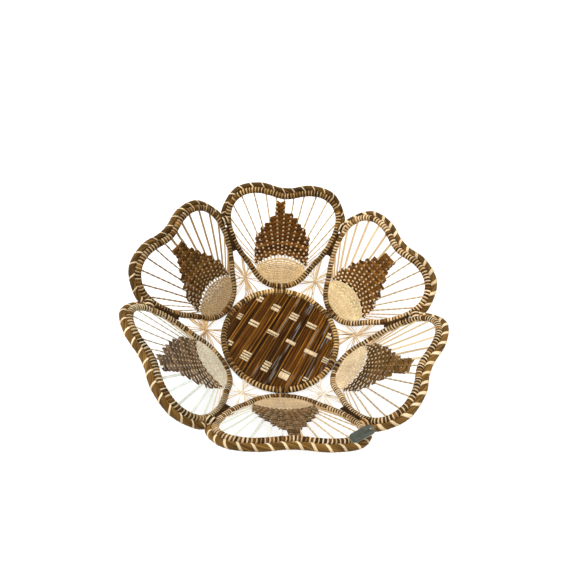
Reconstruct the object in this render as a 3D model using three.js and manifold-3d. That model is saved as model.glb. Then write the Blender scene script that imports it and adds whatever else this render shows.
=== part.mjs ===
import * as THREE from 'three';
import ManifoldModule from 'manifold-3d';

// Flower-shaped palm basket: a round woven base and six heart-shaped petals that lean outwards.
// Millimetres, +Z up, origin on the floor under the centre of the base.

const wasm = await ManifoldModule();
wasm.setup();
const { Manifold, CrossSection, Mesh } = wasm;

const rad = THREE.MathUtils.degToRad;

// Wrapped wire rods of the base ring and the petals.
const petalCount = 6;
const ringRadius = 57;
const rodRadius = 3.1;
const gap = 0.3;
const petalLean = 49.5;
const heartRadii = [50, 48, 43, 44.5, 51, 60.5, 61, 50, 42.5];

// Rope along the petals' outer tops.
const ropeRadius = 2.5;
const ropeBehindAngle = 26;
const ropeStartAngle = 114;
const ropeDip = 9;

// Lashings.
const bindThickness = 0.8;
const footCut = 0.6;
const seamBelow = 21;
const seamAbove = 6;
const seamRadius = 2.6;
const seamRings = 4;
const footLashLength = 13;
const rimTieLength = 9;

// Web of a petal: a woven fan at the foot, and straight spokes that spread from it to the rim.
const spokePairs = 9;
const spokeStepAngle = 11.5;
const spokeFootPitch = 1.6;
const spokeFootHeight = 12;
const spokeWidth = 1.3;
const webThickness = 1;
const fanHalfWidth = 26;
const fanTop = 33.5;

// Leaf woven round the spokes, in steps up to its neck. No two leaves are alike:
// each has its own first step, shoulder, top and curve, and the width and place of its neck.
const leafSkirt = 26;
const leafHalfWidth = 27.6;
const leafSteps = 5;
const leafThickness = 2.6;
const sleeveWidth = 3;
const leafFirstSteps = [55, 43, 46, 41, 41, 41];
const leafShoulders = [76.5, 72, 76, 75, 67.5, 71];
const leafTops = [87, 82, 86, 87, 83, 82];
const leafCurves = [0.9, 0.85, 0.75, 0.8, 0.8, 0.8];
const leafNeckWidths = [8.4, 14.4, 15.6, 8.4, 14.4, 14.4];
const leafNeckShifts = [4.2, 0, 3.9, 2, 0, -1.5];

// Woven base: brown strips over cream strands that come up in small blocks.
const matThickness = 1.6;
const strandThickness = 0.9;
const stripAngle = 62;
const motifPitch = 21.2;
const motifRows = [-35.5, 0, 28.5];
const motifLength = 8.6;

// Thread stars in the gaps between the petals.
const threadRadius = 0.5;
const knotRadius = 1.8;
const knotShare = 0.31;
const knotSag = 2;
const sideThreads = 6;
const firstThreadAngle = 18;
const lastThreadAngle = 68;
const ringThreads = 4;
const ringThreadAngle = 20;

// Metal tag on the rim.
const tagPetal = 3;
const tagLength = 22;
const tagWidth = 8;
const tagThickness = 0.8;
const tagAngle = 128.5;
const tagTilt = 52;
const tagShift = 1.5;
const tagHoleRadius = 0.9;
const tagHoleInset = 3;

const rodSides = 6;
const rodSteps = 44;
const ropeSides = 6;
const ropeStepAngle = 18;
const fanSides = 28;

// The heart's outline is polar: radii from the foot to the notch, joined by a cosine series.
const harmonics = heartRadii.map((_, k) => {
  const last = heartRadii.length - 1;
  let sum = 0;
  heartRadii.forEach((r, j) => {
    const share = j === 0 || j === last ? 0.5 : 1;
    sum += share * r * Math.cos(Math.PI * k * j / last);
  });
  return (k === 0 || k === last ? 1 : 2) * sum / last;
});

function heart(angle) {
  const t = rad(angle);
  const r = harmonics.reduce((sum, c, k) => sum + c * Math.cos(k * t), 0);
  return new THREE.Vector2(r * Math.sin(t), heartRadii[0] - r * Math.cos(t));
}

// Places that follow from the sizes above.
const footRadius = ringRadius + 2 * rodRadius + gap;
const ringHeight = rodRadius + gap + bindThickness - footCut;
const halfAngle = rad(180 / petalCount);

// The petals are as wide as lets each touch its neighbour on the plane between them.
let petalWidth = Infinity;
let touchAngle = 0;
for (let angle = 30; angle < 150; angle += 0.5) {
  const h = heart(angle);
  const reach = footRadius + h.y * Math.cos(rad(petalLean));
  const room = reach * Math.sin(halfAngle) - rodRadius - gap / 2;
  const width = room / (h.x * Math.cos(halfAngle));
  if (width < petalWidth) {
    petalWidth = width;
    touchAngle = angle;
  }
}

function outline(angle) {
  const h = heart(angle);
  return new THREE.Vector2(h.x * petalWidth, h.y);
}

function outlineNormal(angle) {
  const step = outline(angle + 0.5).sub(outline(angle - 0.5)).normalize();
  return new THREE.Vector2(step.y, -step.x);
}

// Axes of petal i: outwards, across, up along the petal, and through its back.
function petalAxes(i) {
  const azimuth = rad(90 + 360 * i / petalCount);
  const lean = rad(petalLean);
  const up = new THREE.Vector3(0, 0, 1);
  const out = new THREE.Vector3(Math.cos(azimuth), Math.sin(azimuth), 0);
  const across = new THREE.Vector3(-Math.sin(azimuth), Math.cos(azimuth), 0);
  const along = out.clone().multiplyScalar(Math.cos(lean)).addScaledVector(up, Math.sin(lean));
  const back = out.clone().multiplyScalar(Math.sin(lean)).addScaledVector(up, -Math.cos(lean));
  const foot = out.clone().multiplyScalar(footRadius).setZ(ringHeight);
  return { azimuth, out, across, along, back, foot };
}

function petalPoint(axes, u, v, w = 0) {
  const p = axes.foot.clone().addScaledVector(axes.across, u);
  return p.addScaledVector(axes.along, v).addScaledVector(axes.back, w);
}

function inPlane(azimuth, distance, height) {
  return new THREE.Vector3(distance * Math.cos(azimuth), distance * Math.sin(azimuth), height);
}

// A ring of a tube is its centre with the two axes of its section.
function petalRing(axes, angle) {
  const o = outline(angle);
  const n = outlineNormal(angle);
  const normal = axes.across.clone().multiplyScalar(n.x).addScaledVector(axes.along, n.y);
  return { centre: petalPoint(axes, o.x, o.y), normal, side: axes.back.clone().negate() };
}

function baseRingAt(azimuth) {
  const normal = inPlane(azimuth, 1, 0);
  const centre = inPlane(azimuth, ringRadius, ringHeight);
  return { centre, normal, side: new THREE.Vector3(0, 0, -1) };
}

function ringsRound(ringAt) {
  return Array.from({ length: rodSteps }, (_, k) => ringAt(360 * k / rodSteps));
}

function sectionPoints(ring, radius, sides) {
  return Array.from({ length: sides }, (_, s) => {
    const a = 2 * Math.PI * s / sides;
    const p = ring.centre.clone().addScaledVector(ring.normal, radius * Math.cos(a));
    return p.addScaledVector(ring.side, radius * Math.sin(a));
  });
}

// A closed loop of tube, its rings joined all the way round.
function loopTube(rings, radius, sides) {
  const points = [];
  const faces = [];
  rings.forEach((ring, i) => {
    const here = i * sides;
    const next = ((i + 1) % rings.length) * sides;
    sectionPoints(ring, radius, sides).forEach((p, s) => {
      const e = (s + 1) % sides;
      points.push(...p.toArray());
      faces.push(here + s, here + e, next + s, here + e, next + e, next + s);
    });
  });
  const vertProperties = new Float32Array(points);
  const triVerts = new Uint32Array(faces);
  return new Manifold(new Mesh({ numProp: 3, vertProperties, triVerts }));
}

function hullOf(runs, radiusOf) {
  const points = [];
  for (const run of runs) {
    for (const ring of run.rings) {
      points.push(...sectionPoints(ring, radiusOf(run), rodSides).map((p) => p.toArray()));
    }
  }
  return Manifold.hull(points);
}

const axesOf = Array.from({ length: petalCount }, (_, i) => petalAxes(i));
const rodOf = axesOf.map((axes) => ringsRound((angle) => petalRing(axes, angle)));
const ringRod = ringsRound((angle) => baseRingAt(rad(angle)));
const petalFrames = rodOf.map((rings) => loopTube(rings, rodRadius, rodSides));
const petalRoom = rodOf.map((rings) => loopTube(rings, rodRadius + gap, rodSides));
const baseRing = loopTube(ringRod, rodRadius, rodSides);
const baseRoom = loopTube(ringRod, rodRadius + gap, rodSides);

// The rope lies outside and behind each petal's rod and dips where two petals meet.
function ropePoint(axes, angle) {
  const o = outline(angle);
  const n = outlineNormal(angle);
  const away = rodRadius + ropeRadius + 1.5 * gap;
  const outwards = away * Math.cos(rad(ropeBehindAngle));
  const behind = away * Math.sin(rad(ropeBehindAngle));
  return petalPoint(axes, o.x + n.x * outwards, o.y + n.y * outwards, behind);
}

function ropeKnots() {
  const knots = [];
  const steps = Math.round((360 - 2 * ropeStartAngle) / ropeStepAngle);
  for (const axes of axesOf) {
    for (let k = 0; k <= steps; k++) {
      knots.push(ropePoint(axes, 360 - ropeStartAngle - (360 - 2 * ropeStartAngle) * k / steps));
    }
    const last = ropePoint(axes, ropeStartAngle);
    const distance = Math.hypot(last.x, last.y) - ropeDip * Math.cos(rad(petalLean));
    const height = last.z - ropeDip * Math.sin(rad(petalLean));
    knots.push(inPlane(axes.azimuth + halfAngle, distance, height));
  }
  return knots;
}

function ropeRings() {
  const knots = ropeKnots();
  const curve = new THREE.CatmullRomCurve3(knots, true, 'centripetal');
  return Array.from({ length: 2 * knots.length }, (_, k) => {
    const at = k / (2 * knots.length);
    const centre = curve.getPoint(at);
    const tangent = curve.getTangent(at);
    const side = inPlane(Math.atan2(centre.y, centre.x), Math.sin(rad(petalLean)), 0);
    side.setZ(-Math.cos(rad(petalLean)));
    side.addScaledVector(tangent, -side.dot(tangent)).normalize();
    return { centre, normal: side.clone().cross(tangent), side };
  });
}

const ropeRod = ropeRings();
const rimRope = loopTube(ropeRod, ropeRadius, ropeSides);
const ropeRoom = loopTube(ropeRod, ropeRadius + gap, ropeSides);
const ropeStepsPerPetal = ropeRod.length / petalCount;

// Where petal i touches the next one.
function touchPoint(i, side) {
  const o = outline(touchAngle);
  return petalPoint(axesOf[i], side * o.x, o.y);
}

// Rings of petal i's rod, from a length before an angle of its outline to a length after it.
function rodRun(i, angle, before, after, count) {
  const perDegree = outline(angle + 0.5).distanceTo(outline(angle - 0.5));
  return Array.from({ length: count }, (_, k) => {
    const along = -before + (before + after) * k / (count - 1);
    return petalRing(axesOf[i], angle + along / perDegree);
  });
}

function nearestAngle(i, point) {
  const angles = Array.from({ length: 360 }, (_, angle) => angle);
  const far = (angle) => petalRing(axesOf[i], angle).centre.distanceTo(point);
  return angles.reduce((best, angle) => (far(angle) < far(best) ? angle : best));
}

// Each lashing is pulled tight over runs of rod, so it is their hull less the rods.
function seamRuns(i) {
  const next = (i + 1) % petalCount;
  const left = rodRun(i, touchAngle, seamBelow, seamAbove, seamRings);
  const right = rodRun(next, -touchAngle, seamAbove, seamBelow, seamRings).reverse();
  return [{ rings: left, radius: seamRadius }, { rings: right, radius: seamRadius }];
}

function footRuns(i) {
  const radius = rodRadius + gap + bindThickness;
  const turn = footLashLength / 2 / ringRadius;
  const onRing = [-turn, 0, turn].map((a) => baseRingAt(axesOf[i].azimuth + a));
  return [
    { rings: rodRun(i, 0, footLashLength / 2, footLashLength / 2, 3), radius },
    { rings: onRing, radius },
  ];
}

function rimRuns(i) {
  const next = (i + 1) % petalCount;
  const last = (i + 1) * ropeStepsPerPetal - 2;
  const rope = [-1, 0, 1].map((k) => ropeRod[(last + k) % ropeRod.length]);
  const dip = rope[1].centre;
  const half = rimTieLength / 2;
  const radius = rodRadius + gap + bindThickness;
  return [
    { rings: rodRun(i, nearestAngle(i, dip), half, half, 2), radius },
    { rings: rodRun(next, nearestAngle(next, dip), half, half, 2), radius },
    { rings: rope, radius: ropeRadius + gap + bindThickness },
  ];
}

// The seam follows the two rods up, one pair of rings after the other.
const seamBody = axesOf.map((_, i) => {
  const runs = seamRuns(i);
  const lengths = Array.from({ length: seamRings - 1 }, (_, k) => (
    hullOf(runs.map((run) => ({ ...run, rings: run.rings.slice(k, k + 2) })), (run) => run.radius)
  ));
  return Manifold.union(lengths);
});
const footBody = axesOf.map((_, i) => hullOf(footRuns(i), (run) => run.radius));
const footRoom = axesOf.map((_, i) => hullOf(footRuns(i), (run) => run.radius + gap));
const rimBody = axesOf.map((_, i) => hullOf(rimRuns(i), (run) => run.radius));
const rimRoom = axesOf.map((_, i) => hullOf(rimRuns(i), (run) => run.radius + gap));

function subtractAll(solid, others) {
  return others.reduce((rest, other) => rest.subtract(other), solid);
}

function neighbours(i) {
  const next = (i + 1) % petalCount;
  return [petalRoom[i], petalRoom[next], ropeRoom];
}

const rimTies = rimBody.map((body, i) => subtractAll(body, neighbours(i)));
const seams = seamBody.map((body, i) => subtractAll(body, [...neighbours(i), rimRoom[i]]));
const footLashings = footBody.map((body, i) => (
  subtractAll(body, [petalRoom[i], baseRoom]).trimByPlane([0, 0, 1], 0)
));

// Flat work in a petal's plane.
function toPetalPlane(solid, axes) {
  const m = new THREE.Matrix4().makeBasis(axes.across, axes.along, axes.back);
  return solid.transform(m.setPosition(axes.foot).toArray());
}

function plate(section, thickness) {
  return Manifold.extrude(section, thickness).translate([0, 0, -thickness / 2]);
}

function rectangle(u0, v0, u1, v1) {
  return new CrossSection([[u0, v0], [u1, v0], [u1, v1], [u0, v1]]);
}

// Spoke j, counted from the middle one, which is upright.
function spoke(j, width) {
  const foot = new THREE.Vector2(spokeFootPitch * j, spokeFootHeight);
  const rim = outline(180 - spokeStepAngle * j);
  const way = rim.clone().sub(foot).normalize();
  const edge = new THREE.Vector2(-way.y, way.x).multiplyScalar(width / 2);
  const corners = [foot.clone().sub(edge), rim.clone().sub(edge), rim.add(edge), foot.add(edge)];
  return new CrossSection(corners.map((p) => p.toArray()));
}

function allSpokes(width) {
  return CrossSection.union(
    Array.from({ length: 2 * spokePairs + 1 }, (_, n) => spoke(n - spokePairs, width)),
  );
}

const fan = CrossSection.circle(1, fanSides)
  .scale([fanHalfWidth, fanTop / 2])
  .translate([0, fanTop / 2]);

const rodPolygon = new CrossSection(
  Array.from({ length: rodSteps }, (_, k) => outline(360 * k / rodSteps).toArray()),
);
const insideRod = rodPolygon.offset(-rodRadius - gap, 'Miter');

// Top of step k of leaf i.
function stepTop(i, k) {
  const rise = leafShoulders[i] - leafFirstSteps[i];
  return leafFirstSteps[i] + rise * (k / (leafSteps - 1)) ** leafCurves[i];
}

function leafShape(i) {
  const neck = leafNeckWidths[i] / 2;
  const shift = leafNeckShifts[i];
  const steps = Array.from({ length: leafSteps }, (_, k) => {
    const half = leafHalfWidth + (neck - leafHalfWidth) * k / leafSteps;
    return rectangle(-half, leafSkirt, half, stepTop(i, k));
  });
  steps.push(rectangle(shift - neck, leafSkirt, shift + neck, leafTops[i]));
  return CrossSection.union(steps).subtract(fan.offset(gap, 'Miter')).intersect(insideRod);
}

const net = plate(fan.add(allSpokes(spokeWidth)).intersect(insideRod), webThickness);
const webs = axesOf.map((axes, i) => {
  const before = (i + petalCount - 1) % petalCount;
  return subtractAll(toPetalPlane(net, axes), [rimRoom[i], rimRoom[before], footRoom[i]]);
});

const sleeves = plate(allSpokes(sleeveWidth), webThickness + 2 * gap);
const leaves = axesOf.map((axes, i) => (
  toPetalPlane(plate(leafShape(i), leafThickness).subtract(sleeves), axes)
));

// Star i fills the gap below the touch of petal i and the next.
function threadTo(knot, end, tangent) {
  const way = end.clone().sub(knot);
  const slant = way.clone().normalize().cross(tangent).length();
  const length = way.length() - (rodRadius + gap + threadRadius) / slant;
  const up = new THREE.Vector3(0, 0, 1);
  const turn = new THREE.Quaternion().setFromUnitVectors(up, way.normalize());
  const m = new THREE.Matrix4().makeRotationFromQuaternion(turn).setPosition(knot);
  return Manifold.cylinder(length, threadRadius, threadRadius, 3).transform(m.toArray());
}

// Threads go to points on a rod, given as its ring: tangent is square to the section's axes.
function threadsTo(knot, rings) {
  return rings.map(({ centre, normal, side }) => (
    threadTo(knot, centre, normal.clone().cross(side))
  ));
}

const stars = axesOf.map((axes, i) => {
  const next = (i + 1) % petalCount;
  const azimuth = axes.azimuth + halfAngle;
  const low = inPlane(azimuth, ringRadius, ringHeight);
  const touch = touchPoint(i, 1).lerp(touchPoint(next, -1), 0.5);
  const knot = low.clone().lerp(touch, knotShare);
  knot.z -= knotSag;
  const rings = [];
  for (let k = 0; k < sideThreads; k++) {
    const angle = firstThreadAngle + (lastThreadAngle - firstThreadAngle) * k / (sideThreads - 1);
    rings.push(petalRing(axesOf[i], angle), petalRing(axesOf[next], -angle));
  }
  for (let k = 0; k < ringThreads; k++) {
    const turn = rad(ringThreadAngle) * (k / (ringThreads - 1) - 0.5);
    rings.push(baseRingAt(azimuth + turn));
  }
  const centre = Manifold.sphere(knotRadius, 4).translate(knot.toArray());
  return Manifold.union([centre, ...threadsTo(knot, rings)]);
});

// Woven base.
const matRadius = ringRadius - rodRadius - gap;
const matEdge = CrossSection.circle(matRadius, rodSteps);
const columns = Math.ceil(matRadius / motifPitch);
const motifPlaces = motifRows.flatMap((row, n) => (
  Array.from({ length: 2 * columns + 1 }, (_, k) => (
    new THREE.Vector2(row, (k - columns + (n % 2 ? 0.5 : 0)) * motifPitch)
  ))
)).filter((place) => place.length() < matRadius - motifLength);
const block = rectangle(-motifLength / 2, -motifLength / 2, motifLength / 2, motifLength / 2);
const blocks = CrossSection.union(
  motifPlaces.map((place) => block.translate(place.toArray())),
).rotate(stripAngle);

const baseMat = subtractAll(
  plate(matEdge.subtract(blocks), matThickness).translate([0, 0, ringHeight]),
  footRoom,
);
const strandTop = ringHeight - matThickness / 2 - gap;
const baseStrands = subtractAll(
  Manifold.extrude(matEdge, strandThickness).translate([0, 0, strandTop - strandThickness])
    .add(Manifold.extrude(blocks.offset(-gap, 'Miter'), matThickness + 2 * gap + strandThickness)
      .translate([0, 0, strandTop - strandThickness])),
  footRoom,
);

// Tag, lying on the petal's rod and on the rope's side of it.
function tagBody() {
  const axes = axesOf[tagPetal];
  const o = outline(tagAngle);
  const n = outlineNormal(tagAngle);
  const outwards = axes.across.clone().multiplyScalar(n.x).addScaledVector(axes.along, n.y);
  const face = outwards.clone().multiplyScalar(Math.cos(rad(tagTilt)));
  face.addScaledVector(axes.back, -Math.sin(rad(tagTilt)));
  const tangent = outwards.clone().cross(axes.back).normalize();
  const centre = petalPoint(axes, o.x, o.y);
  const inwards = tangent.clone().cross(face);
  centre.addScaledVector(face, rodRadius + gap + tagThickness / 2);
  centre.addScaledVector(inwards, inwards.dot(outwards) < 0 ? tagShift : -tagShift);
  const half = tagLength / 2 - tagWidth / 2;
  const disc = CrossSection.circle(tagWidth / 2, 24);
  const oval = disc.translate([-half, 0]).add(disc.translate([half, 0])).hull();
  const hole = CrossSection.circle(tagHoleRadius, 12).translate([tagLength / 2 - tagHoleInset, 0]);
  const m = new THREE.Matrix4().makeBasis(tangent, face.clone().cross(tangent), face);
  return plate(oval.subtract(hole), tagThickness).transform(m.setPosition(centre).toArray());
}

// Every piece becomes a named mesh.
const colours = {
  palm_wrap: 0x8a6a3c,
  palm_brown: 0x6b431a,
  palm_cream: 0xdfc69c,
  rope: 0x5f4c2b,
  thread: 0xdcc39a,
  lashing: 0x4a2c12,
  steel: 0x7f827a,
};
const part = new THREE.Group();
part.name = 'palm_basket';

function addPiece(name, solid, slot) {
  const { vertProperties, triVerts } = solid.getMesh();
  const geometry = new THREE.BufferGeometry();
  geometry.setAttribute('position', new THREE.BufferAttribute(vertProperties, 3));
  geometry.setIndex(new THREE.BufferAttribute(triVerts, 1));
  geometry.computeVertexNormals();
  const metal = slot === 'steel';
  const material = new THREE.MeshStandardMaterial({ color: colours[slot] });
  material.name = slot;
  material.metalness = metal ? 0.9 : 0;
  material.roughness = metal ? 0.4 : 0.75;
  const mesh = new THREE.Mesh(geometry, material);
  mesh.name = name;
  part.add(mesh);
}

addPiece('base_ring', baseRing, 'palm_wrap');
addPiece('base_mat', baseMat, 'palm_brown');
addPiece('base_strands', baseStrands, 'palm_cream');
addPiece('rim_rope', rimRope, 'rope');
axesOf.forEach((_, i) => {
  addPiece(`petal_frame_${i + 1}`, petalFrames[i], 'palm_wrap');
  addPiece(`petal_web_${i + 1}`, webs[i], 'palm_cream');
  addPiece(`petal_leaf_${i + 1}`, leaves[i], 'palm_brown');
  addPiece(`star_${i + 1}`, stars[i], 'thread');
  addPiece(`seam_${i + 1}`, seams[i], 'lashing');
  addPiece(`foot_lashing_${i + 1}`, footLashings[i], 'lashing');
  addPiece(`rim_tie_${i + 1}`, rimTies[i], 'lashing');
});
addPiece('tag', tagBody(), 'steel');

export default part;
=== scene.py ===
"""Palm basket: wrapped rods, woven petals, a woven base and a rope rim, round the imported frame."""

import math

import bmesh
import bpy
import numpy as np
from mathutils import Matrix, Vector


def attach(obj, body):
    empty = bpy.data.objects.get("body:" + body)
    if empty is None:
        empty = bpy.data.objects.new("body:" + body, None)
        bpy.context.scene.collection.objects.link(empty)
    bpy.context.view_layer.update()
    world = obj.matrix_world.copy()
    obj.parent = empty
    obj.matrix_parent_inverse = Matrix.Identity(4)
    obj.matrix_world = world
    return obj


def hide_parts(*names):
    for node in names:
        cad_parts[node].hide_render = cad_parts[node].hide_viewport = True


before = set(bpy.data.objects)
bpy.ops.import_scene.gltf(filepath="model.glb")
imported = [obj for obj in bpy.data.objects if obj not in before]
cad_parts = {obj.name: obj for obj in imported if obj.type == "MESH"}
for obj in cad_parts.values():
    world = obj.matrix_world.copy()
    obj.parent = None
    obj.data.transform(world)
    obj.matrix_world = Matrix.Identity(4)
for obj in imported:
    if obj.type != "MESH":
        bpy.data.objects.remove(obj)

bl_info = {
    "name": "Palm Basket",
    "version": (1, 0, 0),
    "blender": (4, 5, 0),
    "location": "View3D > Sidebar > Basket",
    "description": "Builds a flower-shaped palm basket of wrapped rods, woven leaves and rope",
    "category": "Add Mesh",
}

# Sizes of the frame, in millimetres. The pieces below follow them.
MM = 0.001
PETALS = 6
RING_RADIUS = 57.0
ROD_RADIUS = 3.1
GAP = 0.3
LEAN = math.radians(49.5)
HEART_RADII = (50, 48, 43, 44.5, 51, 60.5, 61, 50, 42.5)
LASHING = 0.8
LASHING_PRESSED = 0.6
RING_HEIGHT = ROD_RADIUS + GAP + LASHING - LASHING_PRESSED
FOOT_RADIUS = RING_RADIUS + 2 * ROD_RADIUS + GAP
HALF_ANGLE = math.pi / PETALS
UP = np.array([0, 0, 1.0])

# Rods: the core, and the turns of strip wound round it.
CORE_WIDTH = 4.9
CORE_SIDES = 8
CORE_STEPS = 100
TURN_STEPS = 14
TURN_SLANT = 12
TURN_SLANT_SPREAD = 7
BROWN_TURN_DEPTH = 0.16
LEAST_TURN, MOST_TURN = 0.15, 0.85
ODD_PALE_TURNS = 0.12
# Chance of a brown turn in light brown, as a painted highlight.
HIGHLIGHT_BROWN_TURNS = 0.09
BASE_TURNS = 0.9

# Rope of the rim: its line behind the petals' rods, its strands and its pale strip.
ROPE_RADIUS = 2.5
ROPE_BEHIND = math.radians(26)
ROPE_START = 114
ROPE_STEP = 18
ROPE_DIP = 9
ROPE_SPAN_STEPS = 8
ROPE_STRANDS = 11
ROPE_ROUNDS = 22
ROPE_STRAND_WIDTH = 1.5
ROPE_STRAND_THICKNESS = 0.9
ROPE_STRIP_LIFT = 0.36
ROPE_STRIP_THICKNESS = 0.55

# Seams: how far they go below and above the touching rods, and the strands of their plaits.
SEAM_BELOW = 20
SEAM_ABOVE = 6
PLAIT_PITCH = 3.8
PLAIT_REACH = 1.6
PLAIT_LIFT = 2.35
PLAIT_STRAND = 1.5

# Turns that bind the petals' feet to the base, and the rope to the petals.
FOOT_TURNS = 7
FOOT_TURNS_REACH = 5.4
FOOT_TURN_WIDTH = 1.4
FOOT_TURN_STEPS = 15
TIE_PLACES = (-3, -1, 1, 3)
TIE_TURN_WIDTH = 1.7

# Spokes: how they spread from the foot, and their two strands.
SPOKE_PAIRS = 9
SPOKE_STEP_ANGLE = 11.5
SPOKE_FOOT_PITCH = 1.6
SPOKE_FOOT_HEIGHT = 12
SPOKE_TWIST = 11.0
SPOKE_THICKNESS = 0.75
FLAT_SPOKE = 1.25
LAST_FULL_SPOKE = 6
SIDE_SPOKE = 0.72
WOVEN_APART = 0.36
FLAT_APART = 0.46
TWISTED_APART = 0.26

# Fans, and how far a row of a fan or leaf hangs down at its sides.
FAN_HALF_WIDTH = 26.0
FAN_TOP = 33.5
FAN_ROW_THICKNESS = 0.5
FAN_WARP_THICKNESS = 0.45
ROW_INSET = 0.6
ROW_DROP = 0.0155
ROW_DROP_ABOVE = 30
ROW_DROP_BELOW = 36

# Leaves: their strips, and for each leaf its steps and its neck.
LEAF_HALF_WIDTH = 27.6
LEAF_STEPS = 5
LEAF_STRIP_THICKNESS = 0.75
# Leaf rows made lighter as painted highlight rows: the share of such rows, and how much lighter they
# are.
HIGHLIGHT_ROW_CHANCE = 0.12
HIGHLIGHT_ROW_GAIN = 1.45
NOTCHED_NECK = 10
NOTCHED_ROWS = 4
LEAF_FIRST_STEPS = (55, 43, 46, 41, 41, 41)
LEAF_SHOULDERS = (76.5, 72, 76, 75, 67.5, 71)
LEAF_TOPS = (87, 82, 86, 87, 83, 82)
LEAF_CURVES = (0.9, 0.85, 0.75, 0.8, 0.8, 0.8)
LEAF_NECK_WIDTHS = (8.4, 14.4, 15.6, 8.4, 14.4, 14.4)
LEAF_NECK_SHIFTS = (4.2, 0, 3.9, 2, 0, -1.5)

# Open weave at the top of each fan, 1 being close.
FAN_OPENNESS = (1.4, 1.3, 1.0, 1.0, 1.1, 1.0)

# Colours of the palm in each petal, 0 to 255, as it was dyed and has aged.
FAN_PALM = (
    (243, 214, 164),
    (194, 166, 125),
    (220, 211, 190),
    (210, 185, 148),
    (246, 224, 188),
    (252, 228, 180),
)
LEAF_PALM = (
    (108, 66, 20),
    (101, 68, 27),
    (108, 86, 64),
    (110, 84, 54),
    (106, 76, 38),
    (112, 73, 28),
)
WRAP_PALM = (
    (208, 177, 126),
    (182, 156, 116),
    (198, 182, 148),
    (208, 182, 144),
    (226, 202, 162),
    (222, 192, 148),
)
SPOKE_PALM = (
    ((206, 178, 126), (204, 175, 122)),
    ((154, 127, 88), (176, 144, 100)),
    ((237, 245, 239), (196, 186, 158)),
    ((208, 180, 138), (237, 245, 238)),
    ((226, 202, 162), (190, 164, 120)),
    ((224, 196, 154), (206, 176, 130)),
)

# Width of the strands of the spokes on either side of each petal, in parts of the usual.
SPOKE_SIZES = ((1.24, 1.24), (1.24, 1.4), (1.35, 1.05), (1.15, 1.35), (1.5, 1.1), (1.5, 1.24))

# How far the spokes are hidden among the rows of each leaf, at its foot and at its top.
LEAF_COVER = ((0.12, 0.4), (0.55, 0.85), (0.45, 0.6), (0.8, 0.9), (0.4, 0.9), (0.0, 0.62))

# Share of pale turns on each petal's rod, at every 30 degrees of its outline from the foot.
ROD_SHARES = (
    (0.45, 0.35, 0.16, 0.3, 0.44, 0.44, 0.34, 0.26, 0.48, 0.5, 0.22, 0.42),
    (0.36, 0.3, 0.26, 0.34, 0.4, 0.48, 0.44, 0.36, 0.4, 0.5, 0.45, 0.48),
    (0.4, 0.32, 0.32, 0.4, 0.36, 0.36, 0.36, 0.42, 0.5, 0.52, 0.46, 0.4),
    (0.4, 0.28, 0.44, 0.5, 0.44, 0.42, 0.46, 0.44, 0.5, 0.44, 0.28, 0.34),
    (0.46, 0.42, 0.46, 0.5, 0.38, 0.4, 0.4, 0.4, 0.4, 0.34, 0.5, 0.5),
    (0.5, 0.42, 0.4, 0.68, 0.74, 0.7, 0.5, 0.38, 0.56, 0.62, 0.48, 0.5),
)

# The same for the base, at every 30 degrees from its right, and its pale turns' colour.
BASE_SHARES = (0.5, 0.6, 0.72, 0.8, 0.6, 0.24, 0.2, 0.22, 0.42, 0.46, 0.42, 0.44)
BASE_PALM = (218, 184, 128)

# Colour of the threads of each star.
STAR_PALM = (
    (214, 184, 138),
    (206, 174, 126),
    (232, 217, 192),
    (228, 216, 196),
    (216, 188, 148),
    (216, 190, 146),
)

# Threads of a star: their places on the petals' rods and on the ring, and their knot.
THREAD_ANGLES = (16, 68)
SIDE_THREADS = 6
BUNDLE_CHANCES = (0.3, 0.35, 0.2, 0.15)
RING_THREAD_ANGLES = (-10, -4, 3, 10)
KNOT_SHARE = 0.31
KNOT_SAG = 2.0
KNOT_RADIUS = 1.35
KNOT_TURNS = 3

# Width of the rope's cream strip along each petal.
ROPE_STRIPS = (1.15, 1.2, 1.5, 2.0, 2.9, 2.9)

# Width of the strips of each leaf, in parts of the height of a row.
LEAF_STRIPS = (1.3, 1.34, 1.55, 1.75, 1.38, 1.3)

# How light the rope's strands are along each petal.
ROPE_TONES = (0.6, 0.7, 1.05, 1.1, 1.15, 0.9)

# How far the strands of a leaf and of a fan pass in front of and behind their middle.
LEAF_DEPTH = 0.7
FAN_DEPTH = 0.32

# How much pale palm loses with age, in red, green and blue.
AGEING = (0.42, 0.49, 0.62)

# Base: its brown strips, its cream strands and the stitches of its blocks.
MAT_RADIUS = RING_RADIUS - ROD_RADIUS - GAP
STRIP_ANGLE = math.radians(62)
STRIP_WIDTH = 0.84
STRIP_THICKNESS = 0.72
STRIP_DYE = (0.97, 0.82, 0.66)
# Strips in light brown as painted highlights: their share and their tint.
HIGHLIGHT_STRIPS = 0.18
HIGHLIGHT_STRIP_DYE = (0.84, 0.8, 0.74)
# Chances between which a strip right of the middle gets grey patches as painted sheen, and that
# grey.
SHEEN_STRIPS = (0.2, 0.34)
SHEEN_GREY = (138, 132, 124)
STRAND_PITCH = 3.1
STRAND_WIDTH = 3.0
STITCH_WIDTH = 1.3
BLOCK_ROW_GAP = 0.5

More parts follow.
